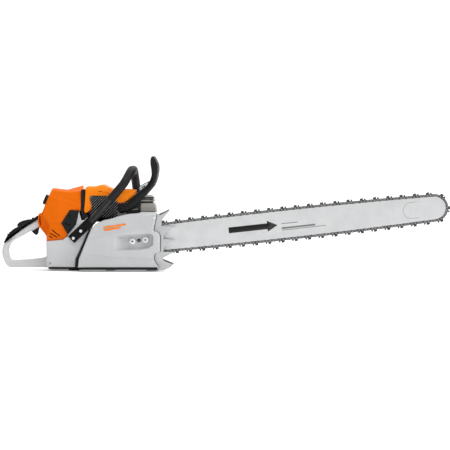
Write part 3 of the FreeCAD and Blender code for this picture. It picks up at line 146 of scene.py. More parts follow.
def moulded(name, colour, rough=0.42, grain=1.0, tint=0.06, coat=0.0, size=1400.0,
            shine=0.5):
    """Moulded plastic: fine spark-eroded grain, slight flow tint, soft handling sheen."""
    n = Nodes(name)
    flow = n.noise(14.0, 4.0, 0.6)
    dark = tuple(c * (1 - tint) for c in colour)
    light = tuple(min(1.0, c * (1 + tint) + 0.002) for c in colour)
    n.put(n.bsdf, "Base Color", n.mix(n.spread(flow, 0.35, 0.65), dark, light))
    worn = n.noise(38.0, 5.0, 0.65)
    n.put(n.bsdf, "Roughness", n.spread(worn, 0.3, 0.7, rough - 0.05, rough + 0.07))
    n.put(n.bsdf, "Specular IOR Level", shine)
    n.put(n.bsdf, "Coat Weight", coat)
    n.put(n.bsdf, "Coat Roughness", 0.25)
    grains = n.noise(size, 2.0, 0.6)
    wave = n.noise(60.0, 2.0, 0.5)
    first = n.bump(wave, 0.12, 0.0006)
    n.put(n.bsdf, "Normal", n.bump(grains, 0.22 * grain, 0.0002, first))
    return n.mat


def painted(name, colour, rough=0.4, metallic=0.0, peel=0.5, tint=0.05, shine=0.5):
    """Painted casting: orange-peel bump over a soft cast waviness, dust in the low spots."""
    n = Nodes(name)
    cloud = n.noise(9.0, 5.0, 0.62)
    dark = tuple(c * (1 - tint) for c in colour)
    light = tuple(min(1.0, c * (1 + tint * 0.6)) for c in colour)
    base = n.mix(n.spread(cloud, 0.36, 0.64), dark, light)
    speck = n.spread(n.noise(900.0, 2.0, 0.5), 0.62, 0.72)
    n.put(n.bsdf, "Base Color", n.mix(n.math("MULTIPLY", speck, 0.12), base,
                                      tuple(c * 0.72 for c in colour)))
    n.put(n.bsdf, "Metallic", metallic)
    n.put(n.bsdf, "Specular IOR Level", shine)
    n.put(n.bsdf, "Roughness", n.spread(n.noise(52.0, 4.0, 0.6), 0.3, 0.7, rough - 0.05,
                                        rough + 0.09))
    wavy = n.bump(n.noise(28.0, 3.0, 0.5), 0.12, 0.0012)
    n.put(n.bsdf, "Normal", n.bump(n.noise(520.0, 2.0, 0.5), 0.18 * peel, 0.00035, wavy))
    return n.mat


def metal(name, colour, rough=0.3, streak=(6.0, 900.0, 900.0), turn=(0, 0, 0), depth=0.35,
          metallic=1.0, blotch=0.1):
    """Ground or rolled metal: directional scratches, oil blotches and uneven sheen."""
    n = Nodes(name)
    along = n.mapped(streak, turn)
    lines = n.noise(1.0, 3.0, 0.7, along)
    blot = n.noise(22.0, 5.0, 0.6)
    dark = tuple(c * (1 - blotch) for c in colour)
    base = n.mix(n.spread(blot, 0.35, 0.7), colour, dark)
    thin = n.spread(lines, 0.35, 0.65)
    n.put(n.bsdf, "Base Color", n.mix(n.math("MULTIPLY", thin, 0.18), base,
                                      tuple(c * 0.8 for c in colour)))
    n.put(n.bsdf, "Metallic", metallic)
    mixed = n.math("ADD", n.math("MULTIPLY", thin, 0.12),
                   n.spread(blot, 0.3, 0.7, rough - 0.06, rough + 0.08))
    n.put(n.bsdf, "Roughness", mixed)
    n.put(n.bsdf, "Normal", n.bump(lines, depth, 0.00008))
    return n.mat


def rubber(name, colour, rough=0.72):
    """Rubber: matt, dusty, finely pitted."""
    n = Nodes(name)
    dust = n.spread(n.noise(45.0, 6.0, 0.7), 0.45, 0.75)
    n.put(n.bsdf, "Base Color", n.mix(n.math("MULTIPLY", dust, 0.5), colour,
                                      tuple(c * 1.6 + 0.01 for c in colour)))
    n.put(n.bsdf, "Specular IOR Level", 0.25)
    n.put(n.bsdf, "Roughness", n.spread(dust, 0.0, 1.0, rough - 0.05, rough + 0.12))
    pits = n.voronoi(900.0)
    n.put(n.bsdf, "Normal", n.bump(pits, 0.25, 0.00015))
    return n.mat


# The shroud orange is the hood's orange plastic made brighter: painted light for the shroud's
# upward-tilted band. The hood orange is the plastic's own tone.
ORANGE_LIT = moulded("orange_shell", (1.0, 0.235, 0.0015), 0.38, 0.7, 0.05, 0.0, shine=0.14)
DEEP_ORANGE = moulded("orange_hood", (0.80, 0.145, 0.0004), 0.40, 0.7, 0.05, 0.0, shine=0.07)
BLACK = moulded("black_shell", (0.0065, 0.007, 0.008), 0.40, 1.2, 0.25, shine=0.20)
BLACK_PAINT = painted("black_paint", (0.010, 0.0105, 0.0115), 0.34, 0.0, 0.8, 0.2, 0.3)
BRACKET = painted("bracket_paint", (0.006, 0.006, 0.0065), 0.36, 0.0, 0.8, 0.2, 0.12)
TUBE = painted("tube_paint", (0.017, 0.018, 0.019), 0.34, 0.0, 0.6, 0.12, 0.4)
# Black fin paint; it also colours strips of painted shade in gaps, louvres and shaded edges.
BLACK_FIN_AND_SHADE = painted("black_fins", (0.006, 0.006, 0.0065), 0.6, 0.0, 1.4, 0.3, 0.15)
GREY = painted("cast_magnesium", (0.61, 0.62, 0.63), 0.40, 0.0)
COVER_GREY = painted("cover_magnesium", (0.55, 0.56, 0.57), 0.40, 0.0)
ALLOY = painted("bare_alloy", (0.55, 0.55, 0.56), 0.42, 0.9)
EXHAUST = painted("exhaust_steel", (0.40, 0.385, 0.36), 0.46, 0.25, 0.9, 0.14)
# Black rubber; it also colours the painted shadow under the clutch cover.
RUBBER_AND_PAINTED_SHADOW = rubber("rubber", (0.010, 0.0102, 0.011), 0.62)
# The black strip in the gap between tank housing and crankcase: partly a rubber strip, partly
# painted shade of the gap.
SEAL_AND_SHADE = rubber("gap_rubber_and_painted_shade", (0.012, 0.012, 0.013), 0.6)
TILT = math.radians(6.26)
BAR = metal("bar_steel", (0.70, 0.71, 0.715), 0.33, (3.0, 700.0, 700.0), (0, TILT, 0), 0.25,
            0.75)
STEEL = metal("bright_steel", (0.72, 0.73, 0.74), 0.28, (12.0, 12.0, 700.0))
SPIKE = metal("spike_steel", (0.60, 0.605, 0.61), 0.34, (500.0, 40.0, 40.0), (0, 0.4, 0), 0.3,
              0.7)
DARK = metal("chain_steel", (0.075, 0.075, 0.08), 0.32, (60.0, 60.0, 400.0), (0, 0, 0), 0.4)
LINKS = metal("link_steel", (0.11, 0.11, 0.115), 0.36, (90.0, 90.0, 300.0), (0, 0, 0), 0.4)
# Tie straps and rivets are the chain steel made lighter: painted highlights for the glints along
# the chain.
STRAP_SHEEN = metal("strap_steel_painted_sheen", (0.16, 0.16, 0.165), 0.32, (90.0, 90.0, 300.0), (0, 0, 0), 0.4)
RIVET_GLINT = metal("rivet_steel_painted_glint", (0.30, 0.30, 0.31), 0.30, (90.0, 90.0, 90.0), (0, 0, 0), 0.3)
PLATED = metal("plated_steel", (0.78, 0.78, 0.77), 0.22, (200.0, 200.0, 200.0), (0, 0, 0), 0.2)
FLEECE = rubber("filter_fleece", (0.62, 0.58, 0.48), 0.9)

FIN_EDGE = metal("fin_edges", (0.42, 0.42, 0.425), 0.40, (60.0, 60.0, 60.0), (0, 0, 0), 0.3,
                 0.5)
# Light grey for the guard's sloped inner face: painted highlight where that black face is lit from
# above.
GUARD_PAINTED_HIGHLIGHT = painted("guard_painted_highlight", (0.62, 0.63, 0.64), 0.5, 0.0, 1.0, 0.1)
NUT = metal("nut_zinc", (0.93, 0.93, 0.92), 0.30, (300.0, 300.0, 300.0), (0, 0, 0), 0.2, 0.35)
MARK_BLACK = painted("print_black", (0.012, 0.012, 0.012), 0.45, 0.0, 0.6, 0.2)
MARK_GREY = painted("print_grey", (0.22, 0.22, 0.225), 0.5, 0.0, 0.6, 0.2)
LOOK = {
    "crankcase_right": GREY, "crankcase_left": GREY, "main_bearings": STEEL,
    "crankshaft": STEEL, "flywheel": ALLOY, "cylinder": BLACK_FIN_AND_SHADE, "spark_plug": PLATED,
    "plug_lead": RUBBER_AND_PAINTED_SHADOW, "ignition_module": BLACK, "piston": ALLOY, "wrist_pin": STEEL,
    "connecting_rod": STEEL, "muffler": EXHAUST, "carburettor": ALLOY, "throttle_valve": STEEL,
    "intake_boot": RUBBER_AND_PAINTED_SHADOW, "air_filter": FLEECE, "filter_cover": DEEP_ORANGE, "filter_knob": BLACK,
    "side_panel": BLACK, "top_shroud": ORANGE_LIT, "shroud_partition": BLACK,
    "tank_housing": GREY, "grip_cover": BLACK, "throttle_trigger": BLACK,
    "throttle_lockout": BLACK, "control_lever": BLACK, "handle_tube": TUBE,
    "handle_sleeve": RUBBER_AND_PAINTED_SHADOW, "handle_bracket": BRACKET, "hand_guard": BLACK,
    "starter_cover": GREY, "starter_pulley": BLACK, "starter_rope": RUBBER_AND_PAINTED_SHADOW,
    "starter_grip": BLACK, "oil_pump": ALLOY, "clutch_hub": DARK, "clutch_shoes": DARK,
    "clutch_drum": DARK, "rim_sprocket": STEEL, "brake_band": STEEL, "bar_studs": PLATED,
    "bar_nuts": PLATED, "clutch_cover": COVER_GREY, "outer_spikes": SPIKE, "inner_spikes": SPIKE,
    "tensioner_screw": PLATED, "tensioner_pin": STEEL, "guide_bar": BAR,
    "nose_sprocket": STEEL, "chain_cutters": DARK, "chain_drive_links": LINKS,
    "chain_tie_straps": STRAP_SHEEN, "chain_rivets": RIVET_GLINT, "fuel_cap": BLACK, "oil_cap": BLACK,
    "av_buffers": RUBBER_AND_PAINTED_SHADOW, "gap_seal": SEAL_AND_SHADE, "base_pad": RUBBER_AND_PAINTED_SHADOW, "case_screws": PLATED,
}
for node, look in LOOK.items():
    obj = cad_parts[node]
    for place in obj.material_slots:
        place.material = look

# ------------------------------------------------------------------ mesh kit

HERE = Vector((0, 0, 0))


def shift(node, drawn):
    """Where a node's low corner is now, less where its drawing has it (mm)."""
    return Vector(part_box(node)[0]) - Vector(drawn) * MM


def keep(name, mesh, look, body="frame", stands_for=(), bevel=0.0, steps=3, angle=30.0,
         weighted=True):
    """Makes the object of a finished mesh, with its finish, bevel and body."""
    obj = bpy.data.objects.new(name, mesh)
    bpy.context.scene.collection.objects.link(obj)
    for one in (look if isinstance(look, (list, tuple)) else [look]):
        mesh.materials.append(one)
    for face in mesh.polygons:
        face.use_smooth = True
    if bevel:
        round_off = obj.modifiers.new("edges", "BEVEL")
        round_off.width = bevel * MM
        round_off.segments = steps
        round_off.limit_method = "ANGLE"
        round_off.angle_limit = math.radians(angle)
        round_off.use_clamp_overlap = True
    if weighted:
        even = obj.modifiers.new("normals", "WEIGHTED_NORMAL")
        even.keep_sharp = True
    if body:
        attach(obj, body)
    if stands_for:
        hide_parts(*stands_for)
    return obj


def mesh_of(name, points, faces, offset):
    """Closed mesh from points in mm and faces as index lists."""
    mesh = bpy.data.meshes.new(name)
    work = bmesh.new()
    verts = [work.verts.new(Vector(p) * MM + offset) for p in points]
    for face in faces:
        ring = [verts[i] for i in face]
        if len(set(ring)) == len(ring) and len(ring) > 2:
            try:
                work.faces.new(ring)
            except ValueError:
                pass
    bmesh.ops.remove_doubles(work, verts=work.verts, dist=0.00002)
    bmesh.ops.recalc_face_normals(work, faces=work.faces)
    work.to_mesh(mesh)
    work.free()
    return mesh


def inset(outline, amount, weights=None):
    """The outline moved inward by amount along its mitres; weights scale single corners."""
    count = len(outline)
    area = sum(outline[i][0] * outline[(i + 1) % count][1]
               - outline[(i + 1) % count][0] * outline[i][1] for i in range(count))
    way = 1.0 if area > 0 else -1.0
    moved = []
    for i in range(count):
        a, b, c = outline[i - 1], outline[i], outline[(i + 1) % count]
        e1 = Vector((b[0] - a[0], b[1] - a[1])).normalized()
        e2 = Vector((c[0] - b[0], c[1] - b[1])).normalized()
        n1 = Vector((-e1.y, e1.x)) * way
        n2 = Vector((-e2.y, e2.x)) * way
        mitre = (n1 + n2) / max(0.35, 1 + n1.dot(n2))
        share = amount * (weights[i] if weights else 1.0)
        moved.append((b[0] + mitre.x * share, b[1] + mitre.y * share))
    return moved


def lofted(name, rings, look, offset, **rest):
    """Closed skin over rings of points that all have the same count."""
    count = len(rings[0])
    points = [point for ring in rings for point in ring]
    faces = []
    for a in range(0, len(points) - count, count):
        b = a + count
        for i in range(count):
            j = (i + 1) % count
            faces.append([a + i, a + j, b + j, b + i])
    faces.append(list(range(count)))
    faces.append([len(points) - count + i for i in range(count)])
    return keep(name, mesh_of(name, points, faces, offset), look, **rest)


def slab(name, outline, levels, look, offset, weights=None, **rest):
    """Plate or block: the outline at several depths, each inset by its own amount."""
    rings = [[(x, y, z) for x, z in inset(outline, amount, weights)] for y, amount in levels]
    return lofted(name, rings, look, offset, **rest)


def disc(x, z, radius, sides, start=0.0):
    """Regular outline round a centre."""
    turns = [math.tau * k / sides + start for k in range(sides)]
    return [(x + radius * math.cos(turn), z + radius * math.sin(turn)) for turn in turns]


def smooth_loop(points, steps=4):
    """Closed Catmull-Rom curve through the points."""
    count = len(points)
    found = []
    for i in range(count):
        p = [points[(i + k - 1) % count] for k in range(4)]
        for step in range(steps):
            t = step / steps
            found.append(tuple(
                0.5 * (2 * p[1][k] + (p[2][k] - p[0][k]) * t
                       + (2 * p[0][k] - 5 * p[1][k] + 4 * p[2][k] - p[3][k]) * t * t
                       + (3 * p[1][k] - p[0][k] - 3 * p[2][k] + p[3][k]) * t ** 3)
                for k in range(len(p[1]))))
    return found


def spaced(points, count):
    """The closed loop resampled to a number of evenly spaced points."""
    total = []
    run = 0.0
    closed = list(points) + [points[0]]
    for a, b in zip(closed, closed[1:]):
        total.append(run)
        run += math.dist(a, b)
    total.append(run)
    found = []
    k = 0
    for i in range(count):
        want = run * i / count
        while total[k + 1] < want:
            k += 1
        t = (want - total[k]) / max(1e-9, total[k + 1] - total[k])
        found.append(tuple(a + (b - a) * t for a, b in zip(closed[k], closed[k + 1])))
    return found


def frame_ring(name, outer, inner, levels, look, offset, **rest):
    """Flat ring between two loops of equal count; rounded by insets at each depth."""
    points = []
    faces = []
    count = len(outer)
    for y, amount in levels:
        points += [(x, y, z) for x, z in inset(outer, amount)]
        points += [(x, y, z) for x, z in inset(inner, -amount)]
    for level in range(len(levels) - 1):
        a = level * 2 * count
        b = a + 2 * count
        for i in range(count):
            j = (i + 1) % count
            faces.append([a + i, a + j, b + j, b + i])
            faces.append([a + count + i, b + count + i, b + count + j, a + count + j])
    for a in (0, (len(levels) - 1) * 2 * count):
        for i in range(count):
            j = (i + 1) % count
            faces.append([a + i, a + j, a + count + j, a + count + i])
    return keep(name, mesh_of(name, points, faces, offset), look, **rest)


def along(table, u):
    """Value at u of a polyline given as (u, v) pairs in rising u."""
    if u <= table[0][0]:
        return table[0][1]
    for (u0, v0), (u1, v1) in zip(table, table[1:]):
        if u <= u1:
            return v0 + (v1 - v0) * (u - u0) / max(1e-9, u1 - u0)
    return table[-1][1]


def edge_distance(x, z, line):
    """Distance from a point to an open polyline."""
    best = 1e9
    for (x0, z0), (x1, z1) in zip(line, line[1:]):
        dx, dz = x1 - x0, z1 - z0
        t = ((x - x0) * dx + (z - z0) * dz) / max(1e-9, dx * dx + dz * dz)
        t = min(1.0, max(0.0, t))
        best = min(best, math.hypot(x - x0 - t * dx, z - z0 - t * dz))
    return best


def rise(t):
    """Smooth step from 0 to 1."""
    t = min(1.0, max(0.0, t))
    return t * t * (3 - 2 * t)


def relief(name, low, high, stations, across, depth, near, far, look, offset, flip=False,
           twin=False, **rest):
    """Block whose near side is a relief: lines of points between the low and high edges.

    stations are the values of u; depth(x, z) sinks the near side, and with twin the far
    side too.  With flip, u runs along Z and the lines along X.
    """
    points = []
    lines = len(stations)
    width = across + 1
    for face_y, way, shaped in ((near, 1.0, True), (far, -1.0, twin)):
        for u in stations:
            a, b = along(low, u), along(high, u)
            for k in range(width):
                v = a + (b - a) * k / across
                x, z = (v, u) if flip else (u, v)
                sink = depth(x, z) if shaped else 0.0
                points.append((x, face_y + way * sink, z))
    faces = []
    block = lines * width
    for i in range(lines - 1):
        for k in range(across):
            a = i * width + k
            quad = [a, a + 1, a + width + 1, a + width]
            faces.append(quad)
            faces.append([block + q for q in reversed(quad)])
    rim = ([k for k in range(width)]
           + [i * width + across for i in range(1, lines)]
           + [(lines - 1) * width + k for k in range(across - 1, -1, -1)]
           + [i * width for i in range(lines - 2, 0, -1)])
    for a, b in zip(rim, rim[1:] + rim[:1]):
        faces.append([a, b, block + b, block + a])
    return keep(name, mesh_of(name, points, faces, offset), look, **rest)


def steps_of(breaks, pitch):
    """The break values with even steps of about pitch between them."""
    found = []
    for a, b in zip(breaks, breaks[1:]):
        parts = max(1, round((b - a) / pitch))
        found += [a + (b - a) * k / parts for k in range(parts)]
    return found + [breaks[-1]]


def carved(obj, cutters):
    """Cuts the cutters out of an object that has no other modifier, and removes them."""
    for cutter in reversed(cutters):
        cut = obj.modifiers.new("cut", "BOOLEAN")
        cut.operation = "DIFFERENCE"
        cut.solver = "EXACT"
        cut.object = cutter
    bpy.context.view_layer.update()
    graph = bpy.context.evaluated_depsgraph_get()
    fresh = bpy.data.meshes.new_from_object(obj.evaluated_get(graph))
    obj.modifiers.clear()
    obj.data = fresh
    for cutter in cutters:
        bpy.data.objects.remove(cutter, do_unlink=True)


def bar_cutter(points, near, far, offset):
    """A plain prism used only to carve a slot."""
    count = len(points)
    both = [(x, y, z) for y in (near, far) for x, z in points]
    faces = [list(range(count)), [count + i for i in range(count)]]
    for i in range(count):
        j = (i + 1) % count
        faces.append([i, j, count + j, count + i])
    obj = bpy.data.objects.new("cutter", mesh_of("cutter", both, faces, offset))
    bpy.context.scene.collection.objects.link(obj)
    return obj


def strip(a, b, half, ends=4):
    """Outline of a round-ended bar from a to b."""
    turn = math.atan2(b[1] - a[1], b[0] - a[0])
    found = []
    for centre, start in ((a, turn + math.pi / 2), (b, turn - math.pi / 2)):
        for k in range(ends + 1):
            angle = start + math.pi * k / ends
            found.append((centre[0] + half * math.cos(angle),
                          centre[1] + half * math.sin(angle)))
    return found


# ------------------------------------------------------------------ filter hood

HOOD_AT = shift("filter_cover", (-228, -56, 92.5))
HOOD_TOP = [(-228, 151), (-225, 173), (-221.5, 178), (-214, 176), (-180, 256), (-136, 251),
            (-87, 265)]
HOOD_LOW = [(-228, 149), (-223, 136.5), (-200.2, 107), (-199.8, 92.5), (-146, 98),
            (-131.5, 112), (-107, 144), (-98, 184), (-92, 188), (-87, 240)]
# front edge of the hollow round the grip collar, as (z, x)
FLARE = [(92, -193), (108, -192), (124, -189), (142, -188), (160, -197), (176, -211)]
FLARE_TOP = 178
FLARE_REACH = 17.0
FLARE_DEPTH = 31.0
# raised field round the louvre slots, and how far it stands proud of the lower hood
FIELD = [(-191, 131), (-177, 134), (-148, 107), (-157, 100.5), (-195, 98), (-191, 131)]
FIELD_STEP = 1.6
PANEL_EDGE = [(112, -130), (148, -150), (189, -125)]
PANEL_SEAT = 2.6
REAR_RISE = 80.5 / 34
REAR_ROUND = 5.0


def hood_depth(x, z):
    """How far the side of the hood lies inside its widest plane."""
    lean = 0.0
    upper = 237.5 - (x + 182) * 0.282
    lower = 224 - (x + 178) * 0.326
    brim = along([(-182, 249.6), (-131, 243.0), (-88, 246.5)], x)
    if z > lower:
        lean = 4.6 * rise((z - lower) / max(4.0, upper - lower))
    if z > upper:
        lean = 4.6 + 5.0 * (z - upper) / max(4.0, brim - upper)
    if z > brim:
        lean = 9.6 + 2.1 * (z - brim)
    # the rear edge is rounded, and the side falls away into the hollow round the collar
    behind = ((x + 214) * REAR_RISE + 175.5 - z) / math.hypot(1, REAR_RISE)
    if x > -216:
        lean = max(lean, REAR_ROUND - behind)
    edge = along(FLARE, z)
    if x < edge and z < FLARE_TOP:
        t = min(1.0, (edge - x) / FLARE_REACH)
        lean = max(lean, FLARE_DEPTH * (1 - (1 - t) ** 2.2))
    if -152 < x and 112 < z < 189 and x > along(PANEL_EDGE, z):
        lean = max(lean, PANEL_SEAT)
    if edge <= x < -146 and z < 134:
        if 98 < z < along(FIELD[:3], x):
            lean += FIELD_STEP * (1 - min(1.0, edge_distance(x, z, FIELD) / 2.0))
        else:
            lean += FIELD_STEP
    elif z < 150 and lean < 1:
        lean += FIELD_STEP
    return max(0.0, lean)


HOOD_SLOTS = (((-180, 126.5), (-156, 108)), ((-186.5, 117), (-165, 104.5)),
              ((-188.5, 108), (-180, 103.2)))
hood = relief("filter_hood", HOOD_LOW, HOOD_TOP,
              steps_of([-228, -225, -221.5, -214, -200.2, -199.8, -180, -146, -136, -131.5,
                        -107, -98, -92, -87], 2.0),
              86, hood_depth, -56, 56, DEEP_ORANGE, HOOD_AT, twin=True, weighted=False,
              stands_for=("filter_cover",))
carved(hood, [bar_cutter(strip(a, b, 1.7), *walls, HOOD_AT) for a, b in HOOD_SLOTS
              for walls in ((-58, -50), (50, 58))])
for number, (a, b) in enumerate(HOOD_SLOTS):
    slab(f"hood_slot_{number + 1}", strip(a, b, 1.6), [(-51.4, 0), (-49.6, 0)], BLACK, HOOD_AT)
# a lip round the grip collar and the joint line of the rear wall
slab("hood_collar_lip",
     [(-223.4, 151), (-223, 172.5), (-222, 177.5), (-218.6, 176), (-220.3, 171), (-220.6, 151),
      (-216, 138), (-198, 109.5), (-200, 107), (-218.6, 134.5)],
     [(-27, 1.2), (-26, 0), (26, 0), (27, 1.2)], DEEP_ORANGE, HOOD_AT, bevel=0.6)

# fluted grip of the hood knob, standing off the rear wall: (lift, radius) of each ring
KNOB_RINGS = ((-6.0, 15.5), (3.0, 16.6), (6.6, 16.6), (8.4, 14.6), (8.6, 9.0), (7.2, 6.0))
KNOB_SIDES = 72
FLUTE = 0.9
AWAY = Vector((-0.92, 0, 0.391))
UP_WALL = Vector((0.391, 0, 0.92))
ACROSS = Vector((0, 1, 0))


def knob_ring(lift, radius):
    """One ring of the knob; the wide rings dip at every sixth pair of points."""
    found = []
    for k in range(KNOB_SIDES):
        turn = math.tau * k / KNOB_SIDES
        reach = radius - (FLUTE if k % 6 in (0, 1) and radius > 15 else 0.0)
        found.append(AWAY * lift + UP_WALL * reach * math.cos(turn)
                     + ACROSS * reach * math.sin(turn))
    return found


knob_low, knob_high = [Vector(c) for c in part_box("filter_knob")]
lofted("knob_grip", [knob_ring(*ring) for ring in KNOB_RINGS], BLACK,
       (knob_low + knob_high) / 2, body="hood_knob", bevel=0.4)

PANEL_AT = shift("side_panel", (-151.2, -58, 112.6))
for number, (x, z, r) in enumerate(((-124, 170.5, 3.5), (-136.4, 146.3, 2.9),
                                    (-127, 142.6, 2.9))):
    slab(f"panel_plug_{number + 1}", disc(x, z, r, 18), [(-56.2, 1.2), (-55.8, 0), (-54.9, 0)],
         BLACK_FIN_AND_SHADE, PANEL_AT, weighted=False)

# ------------------------------------------------------------------ cylinder shroud

SHROUD_AT = shift("top_shroud", (-83.7, -54, 176.7))
shroud_rear = [(-80, 253), (-73, 262), (-46, 262), (-36, 265.5), (-22, 267.6), (9, 254.3),
               (30, 253.6), (30, 231), (-54, 232.5), (-61, 230), (-62.5, 224), (-56, 201),
               (-57, 191), (-66, 181), (-77.5, 177), (-83.7, 186), (-80, 205), (-79, 222)]
shroud_weight = [0.5, 1.3, 1.3, 1.4, 1.5, 1.4, 1.2, 0.1, 0.25, 0.3, 0.3, 0.35, 0.35, 0.35,
                 0.3, 0.3, 0.15, 0.2]
slab("shroud_rear", shroud_rear,
     [(-54, 10), (-51.5, 6.5), (-47, 2.6), (-38, 0), (38, 0), (47, 2.6), (51.5, 6.5), (54, 10)],
     ORANGE_LIT, SHROUD_AT, weights=shroud_weight, bevel=1.0, angle=18,
     stands_for=("top_shroud",))
shroud_front = [(14, 252), (40, 253.5), (59, 253.5), (79, 250), (77.5, 232.5), (56, 215),
                (40, 207.2), (23, 207.2), (15.5, 216), (4, 228)]
slab("shroud_front", shroud_front,
     [(-53.5, 11), (-50, 6), (-42, 0), (42, 0), (50, 6), (53.5, 11)], ORANGE_LIT, SHROUD_AT,
     weights=[1.2, 1.3, 1.3, 1.0, 0.6, 0.55, 0.5, 0.5, 0.5, 0.5], bevel=1.0, angle=16)
# raised hump, black slot and seam rib on the shroud
slab("shroud_hump", [(-50, 250), (-44, 262), (-34, 266.6), (-20, 267.9), (2, 257.5),
                     (14, 249), (-10, 247)],
     [(-49, 7), (-44, 2.5), (-36, 0.3), (36, 0.3), (44, 2.5), (49, 7)], ORANGE_LIT, SHROUD_AT,
     bevel=1.0, angle=16)
slab("shroud_slot", [(-36, 247), (-27, 248.4), (-26, 245.6), (-35, 244.2)],
     [(-54.2, 0.3), (-52.4, 0), (-50, 0)], BLACK, SHROUD_AT, bevel=0.4)
slab("shroud_seam", [(-77, 243.5), (12, 243.5), (12, 241.3), (-77, 241.3)],
     [(-54.6, 0.8), (-53.8, 0), (-50, 0)], ORANGE_LIT, SHROUD_AT, bevel=0.5)
# ------------------------------------------------------------------ cylinder side grille

FINS_AT = shift("cylinder", (-60, -41, 125))
slab("fin_backing", [(-66, 168), (-70, 184), (-56, 200), (-62, 226), (-52, 235), (22, 235),
                     (34, 210), (58, 196), (62, 170)],
     [(-47.2, 3), (-46, 0), (-41.5, 0)], BLACK_FIN_AND_SHADE, FINS_AT, bevel=1.0)
# slanting fins, each trimmed to the opening between the shroud and the crankcase
FIN_SLOPE = math.tan(math.radians(47))
FIN_PITCH = 8.1
FIN_LOW, FIN_HIGH = 166.0, 236.0
FIN_LEFT, FIN_RIGHT = -61, 50
for number in range(23):
    base = -136 + number * FIN_PITCH
    start = max(base, FIN_LEFT)
    stop = min(base + (FIN_HIGH - FIN_LOW) / FIN_SLOPE, FIN_RIGHT)
    if stop - start >= 6:
        ends = [(x, FIN_LOW + (x - base) * FIN_SLOPE) for x in (start, stop)]
        slab(f"cylinder_fin_{number + 1}", strip(*ends, 0.85),
             [(-52, 0.5), (-51, 0), (-44, 0)], FIN_EDGE, FINS_AT, weighted=False)

# ------------------------------------------------------------------ rear handle and tank

TANK_AT = shift("tank_housing", (-341, -62, 8.4))
handle_out = smooth_loop([
    (-336.5, 79), (-340.6, 66), (-340.9, 48), (-336.5, 32), (-330, 18), (-319.5, 9.4),
    (-300, 8.6), (-260, 8.6), (-220, 8.6), (-188, 8.6), (-182, 30), (-182, 60), (-182, 92),
    (-186, 118), (-203, 150), (-224, 160.5), (-248, 147.5), (-279, 128.5), (-308, 108),
    (-326, 93)], 6)
handle_in = smooth_loop([
    (-311, 85), (-317.2, 72), (-318.4, 58), (-316.5, 44), (-309.5, 34), (-296, 32.5),
    (-270, 33.8), (-245, 35.8), (-222, 38), (-207, 41), (-199.5, 48), (-198.3, 62),
    (-198.4, 80), (-199.8, 96), (-207, 116), (-221, 135), (-238, 130.5), (-256, 119),
    (-280, 105), (-300, 94)], 6)
frame_ring("rear_handle", spaced(handle_out, 120), spaced(handle_in, 120),
           [(-16.9, 8.2), (-15.9, 5.0), (-13.6, 2.4), (-9.5, 0.6), (-4, 0), (4, 0), (9.5, 0.6),
            (13.6, 2.4), (15.9, 5.0), (16.9, 8.2)], GREY, TANK_AT, weighted=False,
           stands_for=("tank_housing",))
slab("handle_web", [(-262, 118), (-244, 124), (-226, 134), (-214, 150), (-226, 158),
                    (-246, 146), (-266, 133)],
     [(-16.6, 5), (-15, 2), (-12, 0), (-9.4, 0)], GREY, TANK_AT, bevel=1.0)
tank_outline = [(-197.5, 14), (-193, 10.6), (-107, 10.6), (-105.4, 37), (-94.5, 59),
                (-82.5, 87), (-69.5, 115), (-64, 127), (-58, 143), (-68, 166), (-130, 109.5),
                (-138, 104), (-146, 97.5), (-165, 95.4), (-199, 92.4), (-198.2, 60)]
tank_weight = [1.6, 1.4, 0.7, 0.5, 0.5, 0.5, 0.5, 0.5, 0.4, 0.3, 0.2, 0.2, 0.2, 0.2, 0.3, 2.2]
slab("fuel_tank", tank_outline,
     [(-62, 9), (-61.2, 5.4), (-58.5, 2.2), (-54, 0), (62, 0), (68, 2.2), (71, 5.4), (72, 9)],
     GREY, TANK_AT, weights=tank_weight, bevel=0.8, angle=22)
slab("tank_side_wall", [(-131, 100), (-131, 184), (-124, 186.3), (-97, 186.3), (-89, 158),
                        (-80, 152), (-72, 146), (-100, 106)],
     [(-54.7, 0.6), (-53.8, 0), (-50, 0)], GREY, TANK_AT, bevel=0.5)
slab("tank_edge_strip", [(-131.2, 111), (-129.2, 108.6), (-70.3, 162.6), (-68.8, 167.2),
                         (-74, 163.4)],
     [(-62.0, 0.5), (-61.4, 0), (-52, 0)], GREY, TANK_AT, bevel=0.4)
slab("tank_floor_line", [(-191, 7.9), (-108, 7.9), (-107, 11.2), (-190, 11.2)],
     [(-58.5, 1), (-57.5, 0), (64, 0), (65, 1)], RUBBER_AND_PAINTED_SHADOW, TANK_AT, bevel=0.8)

GRIP_AT = shift("grip_cover", (-335, -17.4, 83.9))
grip_outline = ([(-335, 84.4), (-331.5, 94.5), (-326, 105), (-317, 117), (-305.5, 127.6),
                 (-296, 133.2)]
                + [(-280, 140.6), (-262, 149.8), (-244, 160.6), (-231, 169.4), (-226.6, 171)]
                + [(-226.6, 160.2), (-248, 146.6), (-279, 127.6), (-309, 106.2), (-326, 92)])
slab("grip_shell", smooth_loop(grip_outline, 3),
     [(-17.3, 3.6), (-16.6, 1.7), (-15, 0.5), (-11, 0), (-9.6, 0)], BLACK, GRIP_AT,
     weighted=False, stands_for=("grip_cover",))
slab("grip_shell_left", smooth_loop(grip_outline, 3),
     [(9.6, 0), (11, 0), (15, 0.5), (16.6, 1.7), (17.3, 3.6)], BLACK, GRIP_AT,
     weighted=False)
slab("grip_saddle", smooth_loop([(-335, 85), (-331, 95), (-325, 106), (-316, 118),
                                 (-304, 128), (-296, 131.5), (-292, 131), (-292, 122),
                                 (-309, 106.6), (-326, 92)], 3),
     [(-10.5, 0), (10.5, 0)], BLACK, GRIP_AT, weighted=False)
